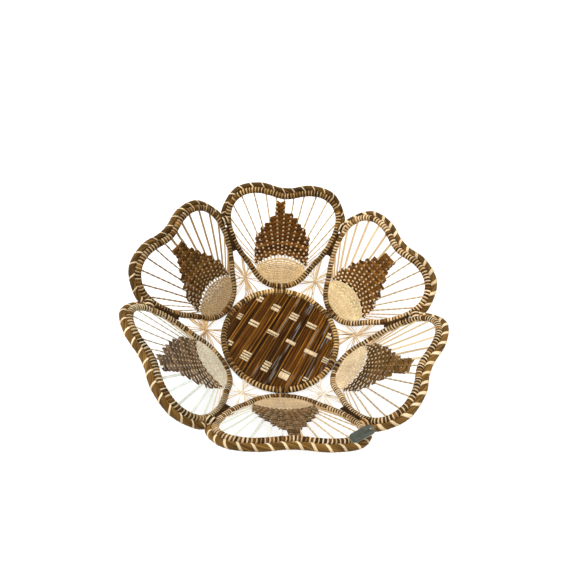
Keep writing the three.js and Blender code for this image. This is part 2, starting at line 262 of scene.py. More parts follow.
# Cream blocks of the base: place along and across the strips, width, and the height of each row.
BLOCKS = (
    (29.2, -20.5, 8.6, (4.6, 3.2)),
    (29.1, 1.0, 9.0, (2.8, 2.6, 2.8)),
    (28.3, 21.4, 11.0, (2.6, 3.2)),
    (0.9, -31.1, 10.6, (3.0, 3.4)),
    (0.4, -8.9, 12.2, (1.4, 3.2)),
    (0.1, 11.5, 10.2, (4.6,)),
    (-0.5, 34.0, 13.6, (5.2,)),
    (-35.5, -20.3, 9.4, (2.0, 2.2, 2.2, 2.4)),
    (-35.7, 2.4, 7.4, (2.8, 2.6, 2.6, 2.2)),
    (-35.3, 21.9, 9.8, (7.6, 1.6)),
    (26.5, 43.0, 6.4, (3.6, 3.0)),
    (-1.2, 50.0, 6.0, (1.8, 1.8, 1.8)),
    (0.9, -47.6, 5.2, (2.4, 2.4, 1.6)),
    (30.6, -39.8, 6.6, (3.2, 3.4)),
    (-30.8, -40.6, 6.0, (2.6, 2.4)),
    (-29.6, 42.6, 6.6, (2.4, 2.0)),
)

# Tag: its petal, its place on the rim, the ways that it points and faces, and its own sizes.
TAG_PETAL = 3
TAG_ANGLE = 128.5
TAG_WAY = (0.87, -0.37, 0.29)
TAG_FACE = (-0.02, 0.59, 0.79)
TAG_LIFT = 3.3
TAG_RADIUS = 4
TAG_HALF_STRAIGHT = 7
TAG_THICKNESS = 0.8
TAG_HOLE_RADIUS = 0.9
TAG_HOLE_PLACE = 8
TAG_EDGE = 0.5
TAG_EDGE_SLOPE = 0.25
TAG_EDGE_DEPTH = 0.12

# Palm finishes: roughness, how much its fibres, worn patches and bumps show, and gloss.
PALM_FINISHES = {
    "wrapped palm": (0.5, 0.26, 0.14, 0.35, 0.12),
    "cream palm": (0.55, 0.16, 0.06, 0.3, 0.16),
    "brown palm": (0.48, 0.32, 0.18, 0.4, 0.07),
    "base palm": (0.42, 0.38, 0.24, 0.35, 0.07),
    "rope palm": (0.5, 0.34, 0.2, 0.45, 0.1),
}

# Metal finishes: how light against the tag's colour, and how metallic. The lighter one, on the tag's
# edges, is a painted highlight.
METAL_FINISHES = {"steel": (1.0, 0.6), "edge highlight steel": (5.0, 0.3)}

# Lamps: name, place, size and power.
LAMPS = (
    ("key", (-0.45, 0.4, 1.1), 0.5, 14.3),
    ("fill", (0.7, -0.5, 0.9), 0.9, 4.0),
)
SKY_LIGHT = 0.5
FLOOR_SIZE = 12
FLOOR_GLOW = 0.78
FLOOR_GREY = 0.42

# Camera: azimuth, elevation and roll in degrees, metres from the base's middle, and in pixels
# the picture's side, the focal length and the place that the camera points at.
CAMERA_ANGLES = (-10.616, 59.925, 11.098)
CAMERA_DISTANCE = 0.41896
PICTURE_SIDE = 572
FOCAL_LENGTH = 415.36
PICTURE_CENTRE = (280.62, 337.44)
SENSOR_WIDTH = 36


def srgb(r, g, b):
    """A colour written as on screen, 0 to 255, in the renderer's linear light."""
    made = []
    for x in (r, g, b):
        x /= 255
        made.append(x / 12.92 if x <= 0.04045 else ((x + 0.055) / 1.055) ** 2.4)
    return tuple(made)


def linear(rgb):
    """The same for a colour of the tables above."""
    return np.array(srgb(*rgb))


def size_property(name, description, default, low, high):
    """A size of the panel, in metres, from low to high."""
    return bpy.props.FloatProperty(
        name=name,
        description=description,
        default=default,
        min=low,
        max=high,
        unit="LENGTH",
        precision=4,
    )


class BasketSizes(bpy.types.PropertyGroup):
    """Sizes of the strips and strands that the basket is made of."""

    wrap_pitch: size_property(
        "Wrap Pitch", "Length of rod that one cream and one brown turn cover", 0.003, 0.002, 0.006
    )
    strip_thickness: size_property(
        "Strip Thickness", "Thickness of the palm strip round the rods", 0.0007, 0.0003, 0.0012
    )
    spoke_strand: size_property(
        "Spoke Strand", "Width of each of the two strands of a spoke", 0.0009, 0.0004, 0.0014
    )
    leaf_row: size_property(
        "Leaf Row", "Height of one woven row of a leaf", 0.0019, 0.0012, 0.003
    )
    fan_row: size_property("Fan Row", "Height of one woven row of a fan", 0.002, 0.0012, 0.003)
    base_strip: size_property(
        "Base Strip", "Spacing of the brown strips of the base", 0.0014, 0.001, 0.003
    )
    rope_pitch: size_property(
        "Rope Pitch", "Length of rope between two turns of its cream strip", 0.0105, 0.006, 0.02
    )
    thread_width: size_property(
        "Thread Width", "Width of a thread of the stars", 0.0013, 0.0004, 0.002
    )


def colour_property(name, description, rgb):
    """A colour of the panel, written 0 to 255."""
    return bpy.props.FloatVectorProperty(
        name=name,
        description=description,
        default=srgb(*rgb),
        subtype="COLOR",
        size=3,
        min=0,
        max=1,
    )


class BasketColours(bpy.types.PropertyGroup):
    """Dyes of the palm and the colours of the tag and floor."""

    cream: colour_property("Cream", "Undyed palm", (237, 214, 174))
    tan: colour_property("Tan", "Undyed palm where it has darkened", (204, 167, 113))
    brown: colour_property("Brown", "Dyed palm of the wraps and leaves", (108, 70, 22))
    dark: colour_property("Dark Brown", "Dyed palm at its darkest", (39, 25, 8))
    # Light brown stands for painted highlights, where the dyed palm shines.
    highlight_brown: colour_property("Light Brown", "Dyed palm where it shines", (168, 114, 40))
    rope: colour_property("Rope", "Strands of the rim rope", (124, 90, 40))
    steel: colour_property("Steel", "Dull metal of the tag", (84, 88, 78))
    floor: colour_property("Floor", "Floor under the basket", (245, 245, 245))


def sizes():
    """The sizes of the panel."""
    return bpy.context.scene.basket_sizes


def dye(name):
    """A dye of the panel as an array."""
    return np.array(getattr(bpy.context.scene.basket_colours, name))


# Shape of the petals.


def unit(v):
    """The vector, or each row of vectors, with length 1."""
    return v / np.maximum(np.linalg.norm(v, axis=-1, keepdims=True), 1e-12)


def run_along(path):
    """Length of a path up to each of its points."""
    return np.concatenate([[0], np.cumsum(np.linalg.norm(np.diff(path, axis=0), axis=1))])


def way_round(path):
    """Direction of a closed path at each of its points."""
    return unit(np.roll(path, -1, 0) - np.roll(path, 1, 0))


def cosine_series():
    """Factors of the cosines that pass through the heart's radii."""
    last = len(HEART_RADII) - 1
    made = []
    for k in range(last + 1):
        total = sum(
            (0.5 if j in (0, last) else 1) * r * math.cos(math.pi * k * j / last)
            for j, r in enumerate(HEART_RADII)
        )
        made.append((1 if k in (0, last) else 2) * total / last)
    return made


HARMONICS = cosine_series()


def heart(angle):
    """Point of the petal's outline, angle in degrees from its foot. Arrays are fine."""
    t = np.radians(angle)
    r = sum(c * np.cos(k * t) for k, c in enumerate(HARMONICS))
    return np.stack([r * np.sin(t), HEART_RADII[0] - r * np.cos(t)], -1)


def widest():
    """Width factor at which neighbouring petals touch, and the angle where they do."""
    angles = np.arange(30, 150, 0.5)
    h = heart(angles)
    reach = FOOT_RADIUS + h[:, 1] * math.cos(LEAN)
    room = reach * math.sin(HALF_ANGLE) - ROD_RADIUS - GAP / 2
    width = room / (h[:, 0] * math.cos(HALF_ANGLE))
    return width.min(), angles[width.argmin()]


PETAL_WIDTH, TOUCH_ANGLE = widest()


def outline(angle):
    """Centre line of a petal's rod in the petal's plane, across and up from its foot."""
    return heart(angle) * np.array([PETAL_WIDTH, 1])


def outline_normal(angle):
    """Direction outwards from the rod in the petal's plane."""
    step = unit(outline(np.asarray(angle) + 0.5) - outline(np.asarray(angle) - 0.5))
    return np.stack([step[..., 1], -step[..., 0]], -1)


class Petal:
    """Axes of petal i: across, up along it, and through it to the front, the basket's inside."""

    def __init__(self, i):
        azimuth = math.pi / 2 + 2 * math.pi * i / PETALS
        self.number = i + 1
        self.azimuth = azimuth
        self.out = np.array([math.cos(azimuth), math.sin(azimuth), 0])
        self.across = np.array([-math.sin(azimuth), math.cos(azimuth), 0])
        self.along = self.out * math.cos(LEAN) + UP * math.sin(LEAN)
        self.front = UP * math.cos(LEAN) - self.out * math.sin(LEAN)
        self.foot = self.out * FOOT_RADIUS + UP * RING_HEIGHT

    def way(self, across, along, front):
        """A direction made of the petal's three."""
        return across * self.across + along * self.along + front * self.front

    def point(self, u, v, f=0.0):
        """Point u across the petal, v up along it and f to its front."""
        u, v, f = (np.asarray(x, float)[..., None] for x in (u, v, f))
        return self.foot + u * self.across + v * self.along + f * self.front

    def rim(self, angle, outwards=0.0, f=0.0):
        """Point beside the rod's centre line, outwards in the petal's plane and to its front."""
        o = outline(angle) + outline_normal(angle) * np.asarray(outwards, float)[..., None]
        return self.point(o[..., 0], o[..., 1], f)

    def normal(self, angle):
        """Direction outwards from the rod, in the petal's plane."""
        n = outline_normal(angle)
        return n[..., :1] * self.across + n[..., 1:] * self.along


PETAL = [Petal(i) for i in range(PETALS)]


def ring_point(azimuth):
    """Point of the centre line of the base's rod."""
    azimuth = np.asarray(azimuth, float)
    x, y = RING_RADIUS * np.cos(azimuth), RING_RADIUS * np.sin(azimuth)
    return np.stack([x, y, RING_HEIGHT + 0 * azimuth], -1)


FINE_ANGLES = np.linspace(0, 360, 1441)
FINE_RUN = run_along(outline(FINE_ANGLES))


def even_angles(count):
    """So many angles of the outline, the same length of rod apart."""
    return np.interp(np.linspace(0, FINE_RUN[-1], count + 1)[:-1], FINE_RUN, FINE_ANGLES)


def catmull(knots, per_span):
    """Closed centripetal curve through the knots."""
    count = len(knots)
    made = []
    for i in range(count):
        p = [knots[(i + k - 1) % count] for k in range(4)]
        t = [0.0]
        for a, b in zip(p, p[1:]):
            t.append(t[-1] + max(np.linalg.norm(b - a), 1e-9) ** 0.5)
        for x in np.arange(per_span) / per_span:
            at = t[1] + (t[2] - t[1]) * x
            a = [p[k] + (p[k + 1] - p[k]) * (at - t[k]) / (t[k + 1] - t[k]) for k in range(3)]
            b = [a[k] + (a[k + 1] - a[k]) * (at - t[k]) / (t[k + 2] - t[k]) for k in range(2)]
            made.append(b[0] + (b[1] - b[0]) * (at - t[1]) / (t[2] - t[1]))
    return np.array(made)


def rope_line(per_span=ROPE_SPAN_STEPS):
    """Centre line of the rope: behind each petal's rod, with a dip where two petals meet."""
    away = ROD_RADIUS + ROPE_RADIUS - GAP
    steps = round((360 - 2 * ROPE_START) / ROPE_STEP)
    knots = []
    for petal in PETAL:
        angles = 360 - ROPE_START - (360 - 2 * ROPE_START) * np.arange(steps + 1) / steps
        run = petal.rim(angles, away * math.cos(ROPE_BEHIND), -away * math.sin(ROPE_BEHIND))
        knots.extend(run)
        last = run[-1]
        distance = math.hypot(last[0], last[1]) - ROPE_DIP * math.cos(LEAN)
        azimuth = petal.azimuth + HALF_ANGLE
        height = last[2] - ROPE_DIP * math.sin(LEAN)
        x, y = distance * math.cos(azimuth), distance * math.sin(azimuth)
        knots.append(np.array([x, y, height]))
    return catmull(knots, per_span)


def step_top(i, k):
    """Top of step k of leaf i."""
    rise = LEAF_SHOULDERS[i] - LEAF_FIRST_STEPS[i]
    return LEAF_FIRST_STEPS[i] + rise * (k / (LEAF_STEPS - 1)) ** LEAF_CURVES[i]


def spoke_end(j):
    """Place on the rod of spoke j, counted from the middle one."""
    return outline(180 - SPOKE_STEP_ANGLE * j)


COLUMNS = np.arange(-12, 13)


def column_at(j, v):
    """Place across the petal of column j at height v. The columns spread upwards from the foot."""
    end = spoke_end(j)
    rise = np.maximum(np.asarray(v, float) - SPOKE_FOOT_HEIGHT, 0) / (end[1] - SPOKE_FOOT_HEIGHT)
    return SPOKE_FOOT_PITCH * j * (1 - rise) + end[0] * rise


def column_number(u, v):
    """Number of the column at each place, with a share between two columns."""
    lines = np.stack([column_at(j, v) for j in COLUMNS], -1)
    return np.array([np.interp(x, line, COLUMNS) for x, line in zip(u, lines)])


def row_drop(level, u):
    """How far a woven row hangs down at its sides: most in the rows along the fan's top."""
    above = np.maximum(0, 1 - np.maximum(0, level - FAN_TOP) / ROW_DROP_ABOVE) ** 1.3
    below = np.maximum(0, 1 - np.maximum(0, FAN_TOP - level) / ROW_DROP_BELOW)
    return ROW_DROP * np.asarray(u, float) ** 2 * above * below


def row_level(u, v):
    """Height at the middle of the row that passes a place."""
    level = v
    for _ in range(9):
        level = v + row_drop(level, u)
    return level


def leaf_sides(i, level):
    """Ends of a row of leaf i across the petal."""
    neck = LEAF_NECK_WIDTHS[i] / 2
    for k in range(LEAF_STEPS):
        half = LEAF_HALF_WIDTH + (neck - LEAF_HALF_WIDTH) * k / LEAF_STEPS
        if level - row_drop(level, half) <= step_top(i, k):
            return -half, half
    return LEAF_NECK_SHIFTS[i] - neck, LEAF_NECK_SHIFTS[i] + neck


def leaf_levels(i):
    """Height of each row of leaf i at its middle."""
    row = sizes().leaf_row / MM
    tall = LEAF_TOPS[i] - FAN_TOP - ROW_INSET
    share = (np.arange(int(tall / row)) + 0.5) / int(tall / row)
    return FAN_TOP + ROW_INSET + tall * (0.88 * share + 0.12 * share**2)


def fan_levels(i):
    """Height of each row of fan i at its middle, from the top down. The rows close up downwards."""
    row = sizes().fan_row / MM
    levels = [FAN_TOP - ROW_INSET]
    while levels[-1] > 3:
        share = levels[-1] / FAN_TOP
        levels.append(levels[-1] - row * (0.8 + (FAN_OPENNESS[i] - 0.8) * share**2))
    return np.array(levels)


def rod_edge(u):
    """Inner edge of the rod at the petal's foot."""
    angles = np.linspace(0, 75, 151)
    edge = outline(angles) - outline_normal(angles) * (ROD_RADIUS - 0.5)
    return np.interp(np.abs(u), edge[:, 0], edge[:, 1])


def in_fan(u, v, edge=1.0):
    """Whether each place is inside the fan."""
    half = FAN_TOP / 2
    round_it = (u / FAN_HALF_WIDTH) ** 2 + np.maximum(0, (v - half) / half) ** 2
    return (v >= rod_edge(u)) & (round_it <= edge)


# Modelling by hand: blanks are made with the mesh tools, then laid and copied.


def deselect():
    """Leaves edit mode, with nothing selected."""
    if bpy.context.object and bpy.context.object.mode != "OBJECT":
        bpy.ops.object.mode_set(mode="OBJECT")
    bpy.ops.object.select_all(action="DESELECT")


def select_by(test, kind="EDGE"):
    """In edit mode, selects the elements that pass the test."""
    bpy.ops.mesh.select_mode(type=kind)
    bpy.ops.mesh.select_all(action="DESELECT")
    bm = bmesh.from_edit_mesh(bpy.context.object.data)
    for e in {"VERT": bm.verts, "EDGE": bm.edges, "FACE": bm.faces}[kind]:
        e.select_set(test(e))
    bm.select_flush_mode()
    bmesh.update_edit_mesh(bpy.context.object.data)


def take_mesh():
    """Coordinates and faces of the active object, which is then removed."""
    if bpy.context.object.mode != "OBJECT":
        bpy.ops.object.mode_set(mode="OBJECT")
    made = bpy.context.object
    co = np.array([v.co for v in made.data.vertices])
    faces = [tuple(p.vertices) for p in made.data.polygons]
    mesh = made.data
    bpy.data.objects.remove(made)
    bpy.data.meshes.remove(mesh)
    return co, faces


BLANKS = {}


def strand_blank(sides, rings, closed):
    """A strand of unit width: ring number, place across it and place through it for each vertex."""
    key = (sides, rings, closed)
    if key in BLANKS:
        return BLANKS[key]
    deselect()
    if closed:
        bpy.ops.mesh.primitive_torus_add(
            major_segments=rings, minor_segments=sides, major_radius=2, minor_radius=0.5
        )
        co, faces = take_mesh()
        turn = np.arctan2(co[:, 1], co[:, 0]) / (2 * math.pi)
        ring = np.round(turn * rings).astype(int) % rings
        made = (ring, np.hypot(co[:, 0], co[:, 1]) - 2, co[:, 2], faces)
    else:
        bpy.ops.mesh.primitive_cylinder_add(
            vertices=sides, radius=0.5, depth=1, end_fill_type="NGON", rotation=(0, math.pi / 2, 0)
        )
        bpy.ops.object.transform_apply(location=False, rotation=True, scale=False)
        bpy.ops.object.mode_set(mode="EDIT")
        select_by(lambda e: abs(e.verts[0].co.x - e.verts[1].co.x) > 0.5)
        if rings > 2:
            bpy.ops.mesh.subdivide(number_cuts=rings - 2)
        co, faces = take_mesh()
        ring = np.round((co[:, 0] + 0.5) * (rings - 1)).astype(int)
        made = (ring, -co[:, 1], co[:, 2], faces)
    BLANKS[key] = made
    return made


def turn_blank(radius, width, thickness):
    """One turn of flat strip round a rod along Z."""
    key = ("turn", radius, width, thickness)
    if key not in BLANKS:
        deselect()
        bpy.ops.mesh.primitive_torus_add(
            major_segments=TURN_STEPS,
            minor_segments=6,
            major_radius=radius - thickness / 2,
            minor_radius=thickness / 2,
        )
        bpy.ops.object.mode_set(mode="EDIT")
        bpy.ops.mesh.select_all(action="SELECT")
        bpy.ops.transform.resize(value=(1, 1, width / thickness))
        BLANKS[key] = take_mesh()
    return BLANKS[key]


class Work:
    """A piece while strands and turns are laid into it."""

    def __init__(self, seed):
        self.random = np.random.RandomState(seed)
        self.co = []
        self.faces = []
        self.grain = []
        self.dye = []
        self.count = 0

    def add(self, co, faces, grain, colour):
        """Adds a strand or turn, with a grain of its own."""
        offset = np.array([self.random.uniform(0, 400), 0, 0])
        self.faces.extend([tuple(v + self.count for v in f) for f in faces])
        self.co.append(co)
        self.grain.append(grain + offset)
        self.dye.append(np.clip(np.broadcast_to(colour, (len(co), 3)), 0, 1))
        self.count += len(co)

    def between(self, a, b, share=None):
        """A dye somewhere between two, a little brighter or darker."""
        x = self.random.uniform(0, 1) if share is None else share
        return (a + (b - a) * x) * self.random.uniform(0.86, 1.12)

    def pale(self, colour, share=None):
        """A pale dye, fresh or darkened and browner with age."""
        x = self.random.uniform(0, 1) if share is None else share
        return colour * (1.08 - np.array(AGEING) * x)

    def patchy(self, colour, count, low=0.8, high=1.2):
        """A colour for each of so many places along a strand, in lighter and darker patches."""
        knots = self.random.uniform(low, high, 2 + count // 7)
        places = np.linspace(0, len(knots) - 1, count)
        return colour * np.interp(places, range(len(knots)), knots)[:, None]

    def lay(self, path, up, width, thickness, colour, sides=6, closed=False):
        """Lays a strand along a path, its thin way along up."""
        ring, y, z, faces = strand_blank(sides, len(path), closed)
        way = way_round(path) if closed else unit(np.gradient(path, axis=0))
        side = unit(np.cross(way, np.broadcast_to(up, path.shape)))
        thin = np.cross(side, way)
        width = np.broadcast_to(width, len(path))[ring]
        colour = np.broadcast_to(colour, (len(path), 3))[ring]
        co = path[ring] + side[ring] * (y * width)[:, None] + thin[ring] * (z * thickness)[:, None]
        run = run_along(path)
        self.add(co, faces, np.stack([run[ring], y * width, z * thickness], -1), colour)

    def turn(self, blank, centre, axes, colour, round_it):
        """Copies a blank that stands round Z to a place, with its three axes."""
        co, faces = blank
        grain = np.stack([np.arctan2(co[:, 1], co[:, 0]) * round_it, co[:, 2], 0 * co[:, 2]], -1)
        self.add(centre + co @ np.array(axes), faces, grain, colour)

    def finish(self, name, finish, node, slot):
        """Makes the piece, which rides on the frame in the place of its node."""
        mesh = bpy.data.meshes.new(name)
        mesh.from_pydata(np.concatenate(self.co) * MM, [], self.faces)
        mesh.polygons.foreach_set("use_smooth", [True] * len(mesh.polygons))
        grain = mesh.attributes.new("grain", "FLOAT_VECTOR", "POINT")
        grain.data.foreach_set("vector", np.concatenate(self.grain).astype(np.float32).ravel())
        colours = np.concatenate(self.dye)
        colours = np.concatenate([colours, np.ones((len(colours), 1))], 1)
        shade = mesh.attributes.new("dye", "FLOAT_COLOR", "POINT")
        shade.data.foreach_set("color", colours.astype(np.float32).ravel())
        mesh.materials.append(finish_of(finish))
        piece = bpy.data.objects.new(name, mesh)
        bpy.context.scene.collection.objects.link(piece)
        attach(piece, "root")
        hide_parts(node)


# Finishes.


class Nodes:
    """A material's node tree, with a short way to add and join nodes."""

    def __init__(self, name):
        self.material = bpy.data.materials.new(name)
        self.material.use_nodes = True
        self.tree = self.material.node_tree
        self.shader = self.tree.nodes["Principled BSDF"]
        self.output = self.tree.nodes["Material Output"]

    def add(self, kind, **values):
        """A new node, with its settings."""
        node = self.tree.nodes.new(kind)
        for key, value in values.items():
            setattr(node, key, value)
        return node

    def join(self, a, b):
        """Links an output to an input."""
        self.tree.links.new(a, b)

    def attribute(self, name):
        """A node that reads an attribute of the mesh."""
        return self.add("ShaderNodeAttribute", attribute_name=name)

    def maths(self, operation, *inputs):
        """The result of a sum with sockets and numbers."""
        node = self.add("ShaderNodeMath", operation=operation)
        for socket, value in zip(node.inputs, inputs):
            if isinstance(value, (int, float)):
                socket.default_value = value
            else:
                self.join(value, socket)
        return node.outputs[0]

    def stretch(self, vector, scale):
        """The vector scaled by its own number along each axis."""
        node = self.add("ShaderNodeVectorMath", operation="MULTIPLY")
        self.join(vector, node.inputs[0])
        node.inputs[1].default_value = scale
        return node.outputs[0]

    def noise(self, vector, scale, detail, roughness=0.55):
        """Noise from 0 to 1 at each place."""
        node = self.add("ShaderNodeTexNoise")
        self.join(vector, node.inputs["Vector"])
        node.inputs["Scale"].default_value = scale
        node.inputs["Detail"].default_value = detail
        node.inputs["Roughness"].default_value = roughness
        return node.outputs[0]

    def ranged(self, value, low, high, to_low, to_high):
        """The value carried from one range to another."""
        node = self.add("ShaderNodeMapRange")
        self.join(value, node.inputs["Value"])
        limits = {"From Min": low, "From Max": high, "To Min": to_low, "To Max": to_high}
        for key, x in limits.items():
            node.inputs[key].default_value = x
        return node.outputs[0]

    def tinted(self, colour, factor):
        """Colour times a number."""
        node = self.add("ShaderNodeVectorMath", operation="SCALE")
        self.join(colour, node.inputs[0])
        self.join(factor, node.inputs["Scale"])
        return node.outputs[0]

    def bump(self, height, strength, distance):
        """Raises the surface where the height is more."""
        node = self.add("ShaderNodeBump")
        node.inputs["Strength"].default_value = strength
        node.inputs["Distance"].default_value = distance
        self.join(height, node.inputs["Height"])
        self.join(node.outputs[0], self.shader.inputs["Normal"])


def palm(name, roughness, fibre, patch, bump, gloss):
    """Split palm leaf: its dye with fibres along each strip, worn patches and a soft gloss."""
    n = Nodes(name)
    grain = n.attribute("grain").outputs["Vector"]
    streaks = n.noise(n.stretch(grain, (0.12, 2.6, 2.6)), 1.0, 4.0, 0.65)
    speck = n.noise(n.stretch(grain, (1.1, 1.6, 1.6)), 1.0, 2.0)
    place = n.add("ShaderNodeTexCoord").outputs["Object"]
    worn = n.noise(place, 55.0, 2.0)
    light = n.ranged(streaks, 0.25, 0.75, 1 - fibre, 1 + fibre)
    light = n.maths("MULTIPLY", light, n.ranged(speck, 0.3, 0.7, 0.93, 1.06))
    light = n.maths("MULTIPLY", light, n.ranged(worn, 0.3, 0.7, 1 - patch, 1 + patch))
    n.join(n.tinted(n.attribute("dye").outputs["Color"], light), n.shader.inputs["Base Color"])
    n.join(
        n.ranged(streaks, 0.2, 0.8, roughness + 0.12, roughness - 0.1),
        n.shader.inputs["Roughness"],
    )
    n.shader.inputs["Specular IOR Level"].default_value = gloss
    n.bump(streaks, bump, 0.0004)
    return n.material


def steel(name, light, metallic):
    """Dull metal with fine scratches and cloudy patches, its colour made lighter by a factor; the
    lighter finish is a painted highlight on the tag's edges.
    """
    n = Nodes(name)
    place = n.add("ShaderNodeTexCoord").outputs["Object"]
    cloud = n.noise(place, 260.0, 4.0)
    scratch = n.noise(n.stretch(place, (3000, 400, 400)), 1.0, 2.0)
    n.shader.inputs["Metallic"].default_value = metallic
    base = n.add("ShaderNodeCombineColor")
    for socket, value in zip(base.inputs, dye("steel")):
        socket.default_value = min(1.0, float(value) * light)
    clouded = n.tinted(base.outputs[0], n.ranged(cloud, 0.3, 0.7, 0.75, 1.2))
    n.join(clouded, n.shader.inputs["Base Color"])
    n.join(n.ranged(scratch, 0.3, 0.7, 0.45, 0.62), n.shader.inputs["Roughness"])
    n.bump(scratch, 0.15, 0.0001)
    return n.material


FINISHES = {}


def finish_of(name):
    """The finish of that name, made the first time it is asked for."""
    if name not in FINISHES:
        if name in PALM_FINISHES:
            FINISHES[name] = palm(name, *PALM_FINISHES[name])
        else:
            FINISHES[name] = steel(name, *METAL_FINISHES[name])
    return FINISHES[name]


# Wrapped rods.


def wrap_rod(work, centres, normals, sides, shares, palm_colour):
    """Winds pale and brown turns round a rod, from its even places and the axes of its section."""
    way = way_round(centres)
    thickness = sizes().strip_thickness / MM
    pair = 2 * np.linalg.norm(centres[1] - centres[0])
    brown, dark, light = (dye(x) for x in ("brown", "dark", "highlight_brown"))
    pale_dye = linear(palm_colour)
    for k, (centre, normal, side, along) in enumerate(zip(centres, normals, sides, way)):
        pale = k % 2 == 0
        share = min(MOST_TURN, max(LEAST_TURN, shares[k] + work.random.uniform(-0.1, 0.1)))
        wide = pair * (share if pale else 1 - share)
        # In steps, so that turns of nearly the same width share a blank.
        wide = round(wide * work.random.uniform(0.95, 1.1) * 10) / 10 * 1.04
        depth = 0 if pale else BROWN_TURN_DEPTH
        radius = ROD_RADIUS - depth - work.random.choice([0, 0.05, 0.1])
        blank = turn_blank(round(radius, 2), round(wide, 2), thickness)
        lean = work.random.uniform(-TURN_SLANT_SPREAD, TURN_SLANT_SPREAD)
        slant = math.radians(TURN_SLANT + lean)
        tip = along * math.cos(slant) + side * math.sin(slant)
        first = unit(normal - tip * normal.dot(tip))
        axes = (first, np.cross(tip, first), tip)
        if pale:
            worn = work.random.uniform(0, 1) ** 1.3
            colour = work.pale(pale_dye, worn) * (0.72 + 0.62 * shares[k])
            if work.random.uniform() < ODD_PALE_TURNS:
                colour = work.between(work.pale(pale_dye, 1.3), brown)
        else:
            colour = work.between(brown, dark, work.random.uniform(0.1, 1.0))
            # Some brown turns are light brown, as painted highlights.
            if work.random.uniform() < HIGHLIGHT_BROWN_TURNS:
                colour = work.between(light, brown)
        work.turn(blank, centre, axes, colour, ROD_RADIUS)


def lay_core(work, centres, up):
    """Lays the closed core of a rod, which the turns hide."""
    work.lay(centres, up, CORE_WIDTH, CORE_WIDTH, dye("dark"), sides=CORE_SIDES, closed=True)


def spread(shares, angles):
    """Share at each angle in degrees, from shares at every 30 degrees."""
    return np.interp(np.asarray(angles) % 360, np.arange(0, 361, 30), [*shares, shares[0]])


class BASKET_OT_petal_rods(bpy.types.Operator):
    """Winds the six heart-shaped rods of the petals in cream and brown palm"""

    bl_idname = "basket.petal_rods"
    bl_label = "Petal Rods"

    def execute(self, context):
        turns = 2 * round(FINE_RUN[-1] * MM / sizes().wrap_pitch)
        angles = even_angles(turns)
        for petal in PETAL:
            work = Work(100 + petal.number)
            front = np.broadcast_to(petal.front, (turns, 3))
            lay_core(work, petal.rim(even_angles(CORE_STEPS)), petal.front)
            shares = spread(ROD_SHARES[petal.number - 1], angles)
            palm_colour = WRAP_PALM[petal.number - 1]
            wrap_rod(work, petal.rim(angles), petal.normal(angles), front, shares, palm_colour)
            number = petal.number
            work.finish(f"petal_rod_{number}", "wrapped palm", f"petal_frame_{number}", "palm_wrap")
        return {"FINISHED"}


class BASKET_OT_base_rod(bpy.types.Operator):
    """Winds the round rod of the base"""

    bl_idname = "basket.base_rod"
    bl_label = "Base Rod"

    def execute(self, context):
        length = 2 * math.pi * RING_RADIUS * MM
        turns = 2 * round(BASE_TURNS * length / sizes().wrap_pitch)
        work = Work(90)
        azimuth = 2 * math.pi * np.arange(turns) / turns
        lay_core(work, ring_point(2 * math.pi * np.arange(CORE_STEPS) / CORE_STEPS), UP)
        normals = np.stack([np.cos(azimuth), np.sin(azimuth), 0 * azimuth], -1)
        shares = spread(BASE_SHARES, np.degrees(azimuth))
        ups = np.broadcast_to(UP, (turns, 3))
        wrap_rod(work, ring_point(azimuth), normals, ups, shares, BASE_PALM)
        work.finish("base_rod", "wrapped palm", "base_ring", "palm_wrap")
        return {"FINISHED"}


# Woven petals.


class BASKET_OT_leaves(bpy.types.Operator):
    """Weaves the six brown leaves round the spokes"""

    bl_idname = "basket.leaves"
    bl_label = "Leaves"

    def execute(self, context):
        for i, petal in enumerate(PETAL):
            self.weave(i, petal)
        return {"FINISHED"}

    def weave(self, i, petal):
        """Rows over and under the spokes, with a turn from each row to the next at its edge."""
        work = Work(200 + i)
        palm_dye = linear(LEAF_PALM[i])
        levels = leaf_levels(i)
        heights = np.gradient(levels)
        notched = LEAF_NECK_WIDTHS[i] < NOTCHED_NECK
        ends = []
        for r, (level, tall) in enumerate(zip(levels, heights)):
            low, high = leaf_sides(i, level)
            low += work.random.uniform(-0.6, 0.3)
            high += work.random.uniform(-0.3, 0.6)
            u = np.linspace(low, high, max(9, int((high - low) / 0.8) | 1))
            v = level - row_drop(level, u) + 0.12 * np.sin(u * 0.8 + r)
            notch = r + NOTCHED_ROWS - len(levels)
            if notched and notch > 0:
                v = v + 0.45 * np.abs(u - (low + high) / 2) * notch / 3 - 0.8
            f = LEAF_DEPTH * np.cos(math.pi * (column_number(u, v) + r))
            share = work.random.uniform(0, 1)
            redder = np.array([1, 1 - 0.05 * share, 1 - 0.25 * share])
            colour = palm_dye * (1.25 - 0.75 * share) * redder
            # Some rows are made lighter all along, as painted highlights.
            if work.random.uniform() < HIGHLIGHT_ROW_CHANCE:
                colour = palm_dye * HIGHLIGHT_ROW_GAIN
            along = work.patchy(colour, len(u), 0.72, 1.3)
            path = petal.point(u, v, f)
            work.lay(path, petal.front, tall * LEAF_STRIPS[i], LEAF_STRIP_THICKNESS, along)
            ends.append((low, high, v[0], v[-1], f[0], f[-1], colour))
        for r, (this, after) in enumerate(zip(ends, ends[1:])):
            k = r % 2
            side = 1 if k else -1
            t = np.linspace(0, math.pi, 7)
            share = (1 - np.cos(t)) / 2
            u = this[k] + (after[k] - this[k]) * share + side * (0.5 * np.sin(t) - 0.3)
            v = this[k + 2] + (after[k + 2] - this[k + 2]) * share
            f = this[k + 4] + (after[k + 4] - this[k + 4]) * share
            work.lay(petal.point(u, v, f), petal.front, 1.2, 0.9, this[6])
        number = petal.number
        work.finish(f"leaf_{number}", "brown palm", f"petal_leaf_{number}", "palm_brown")


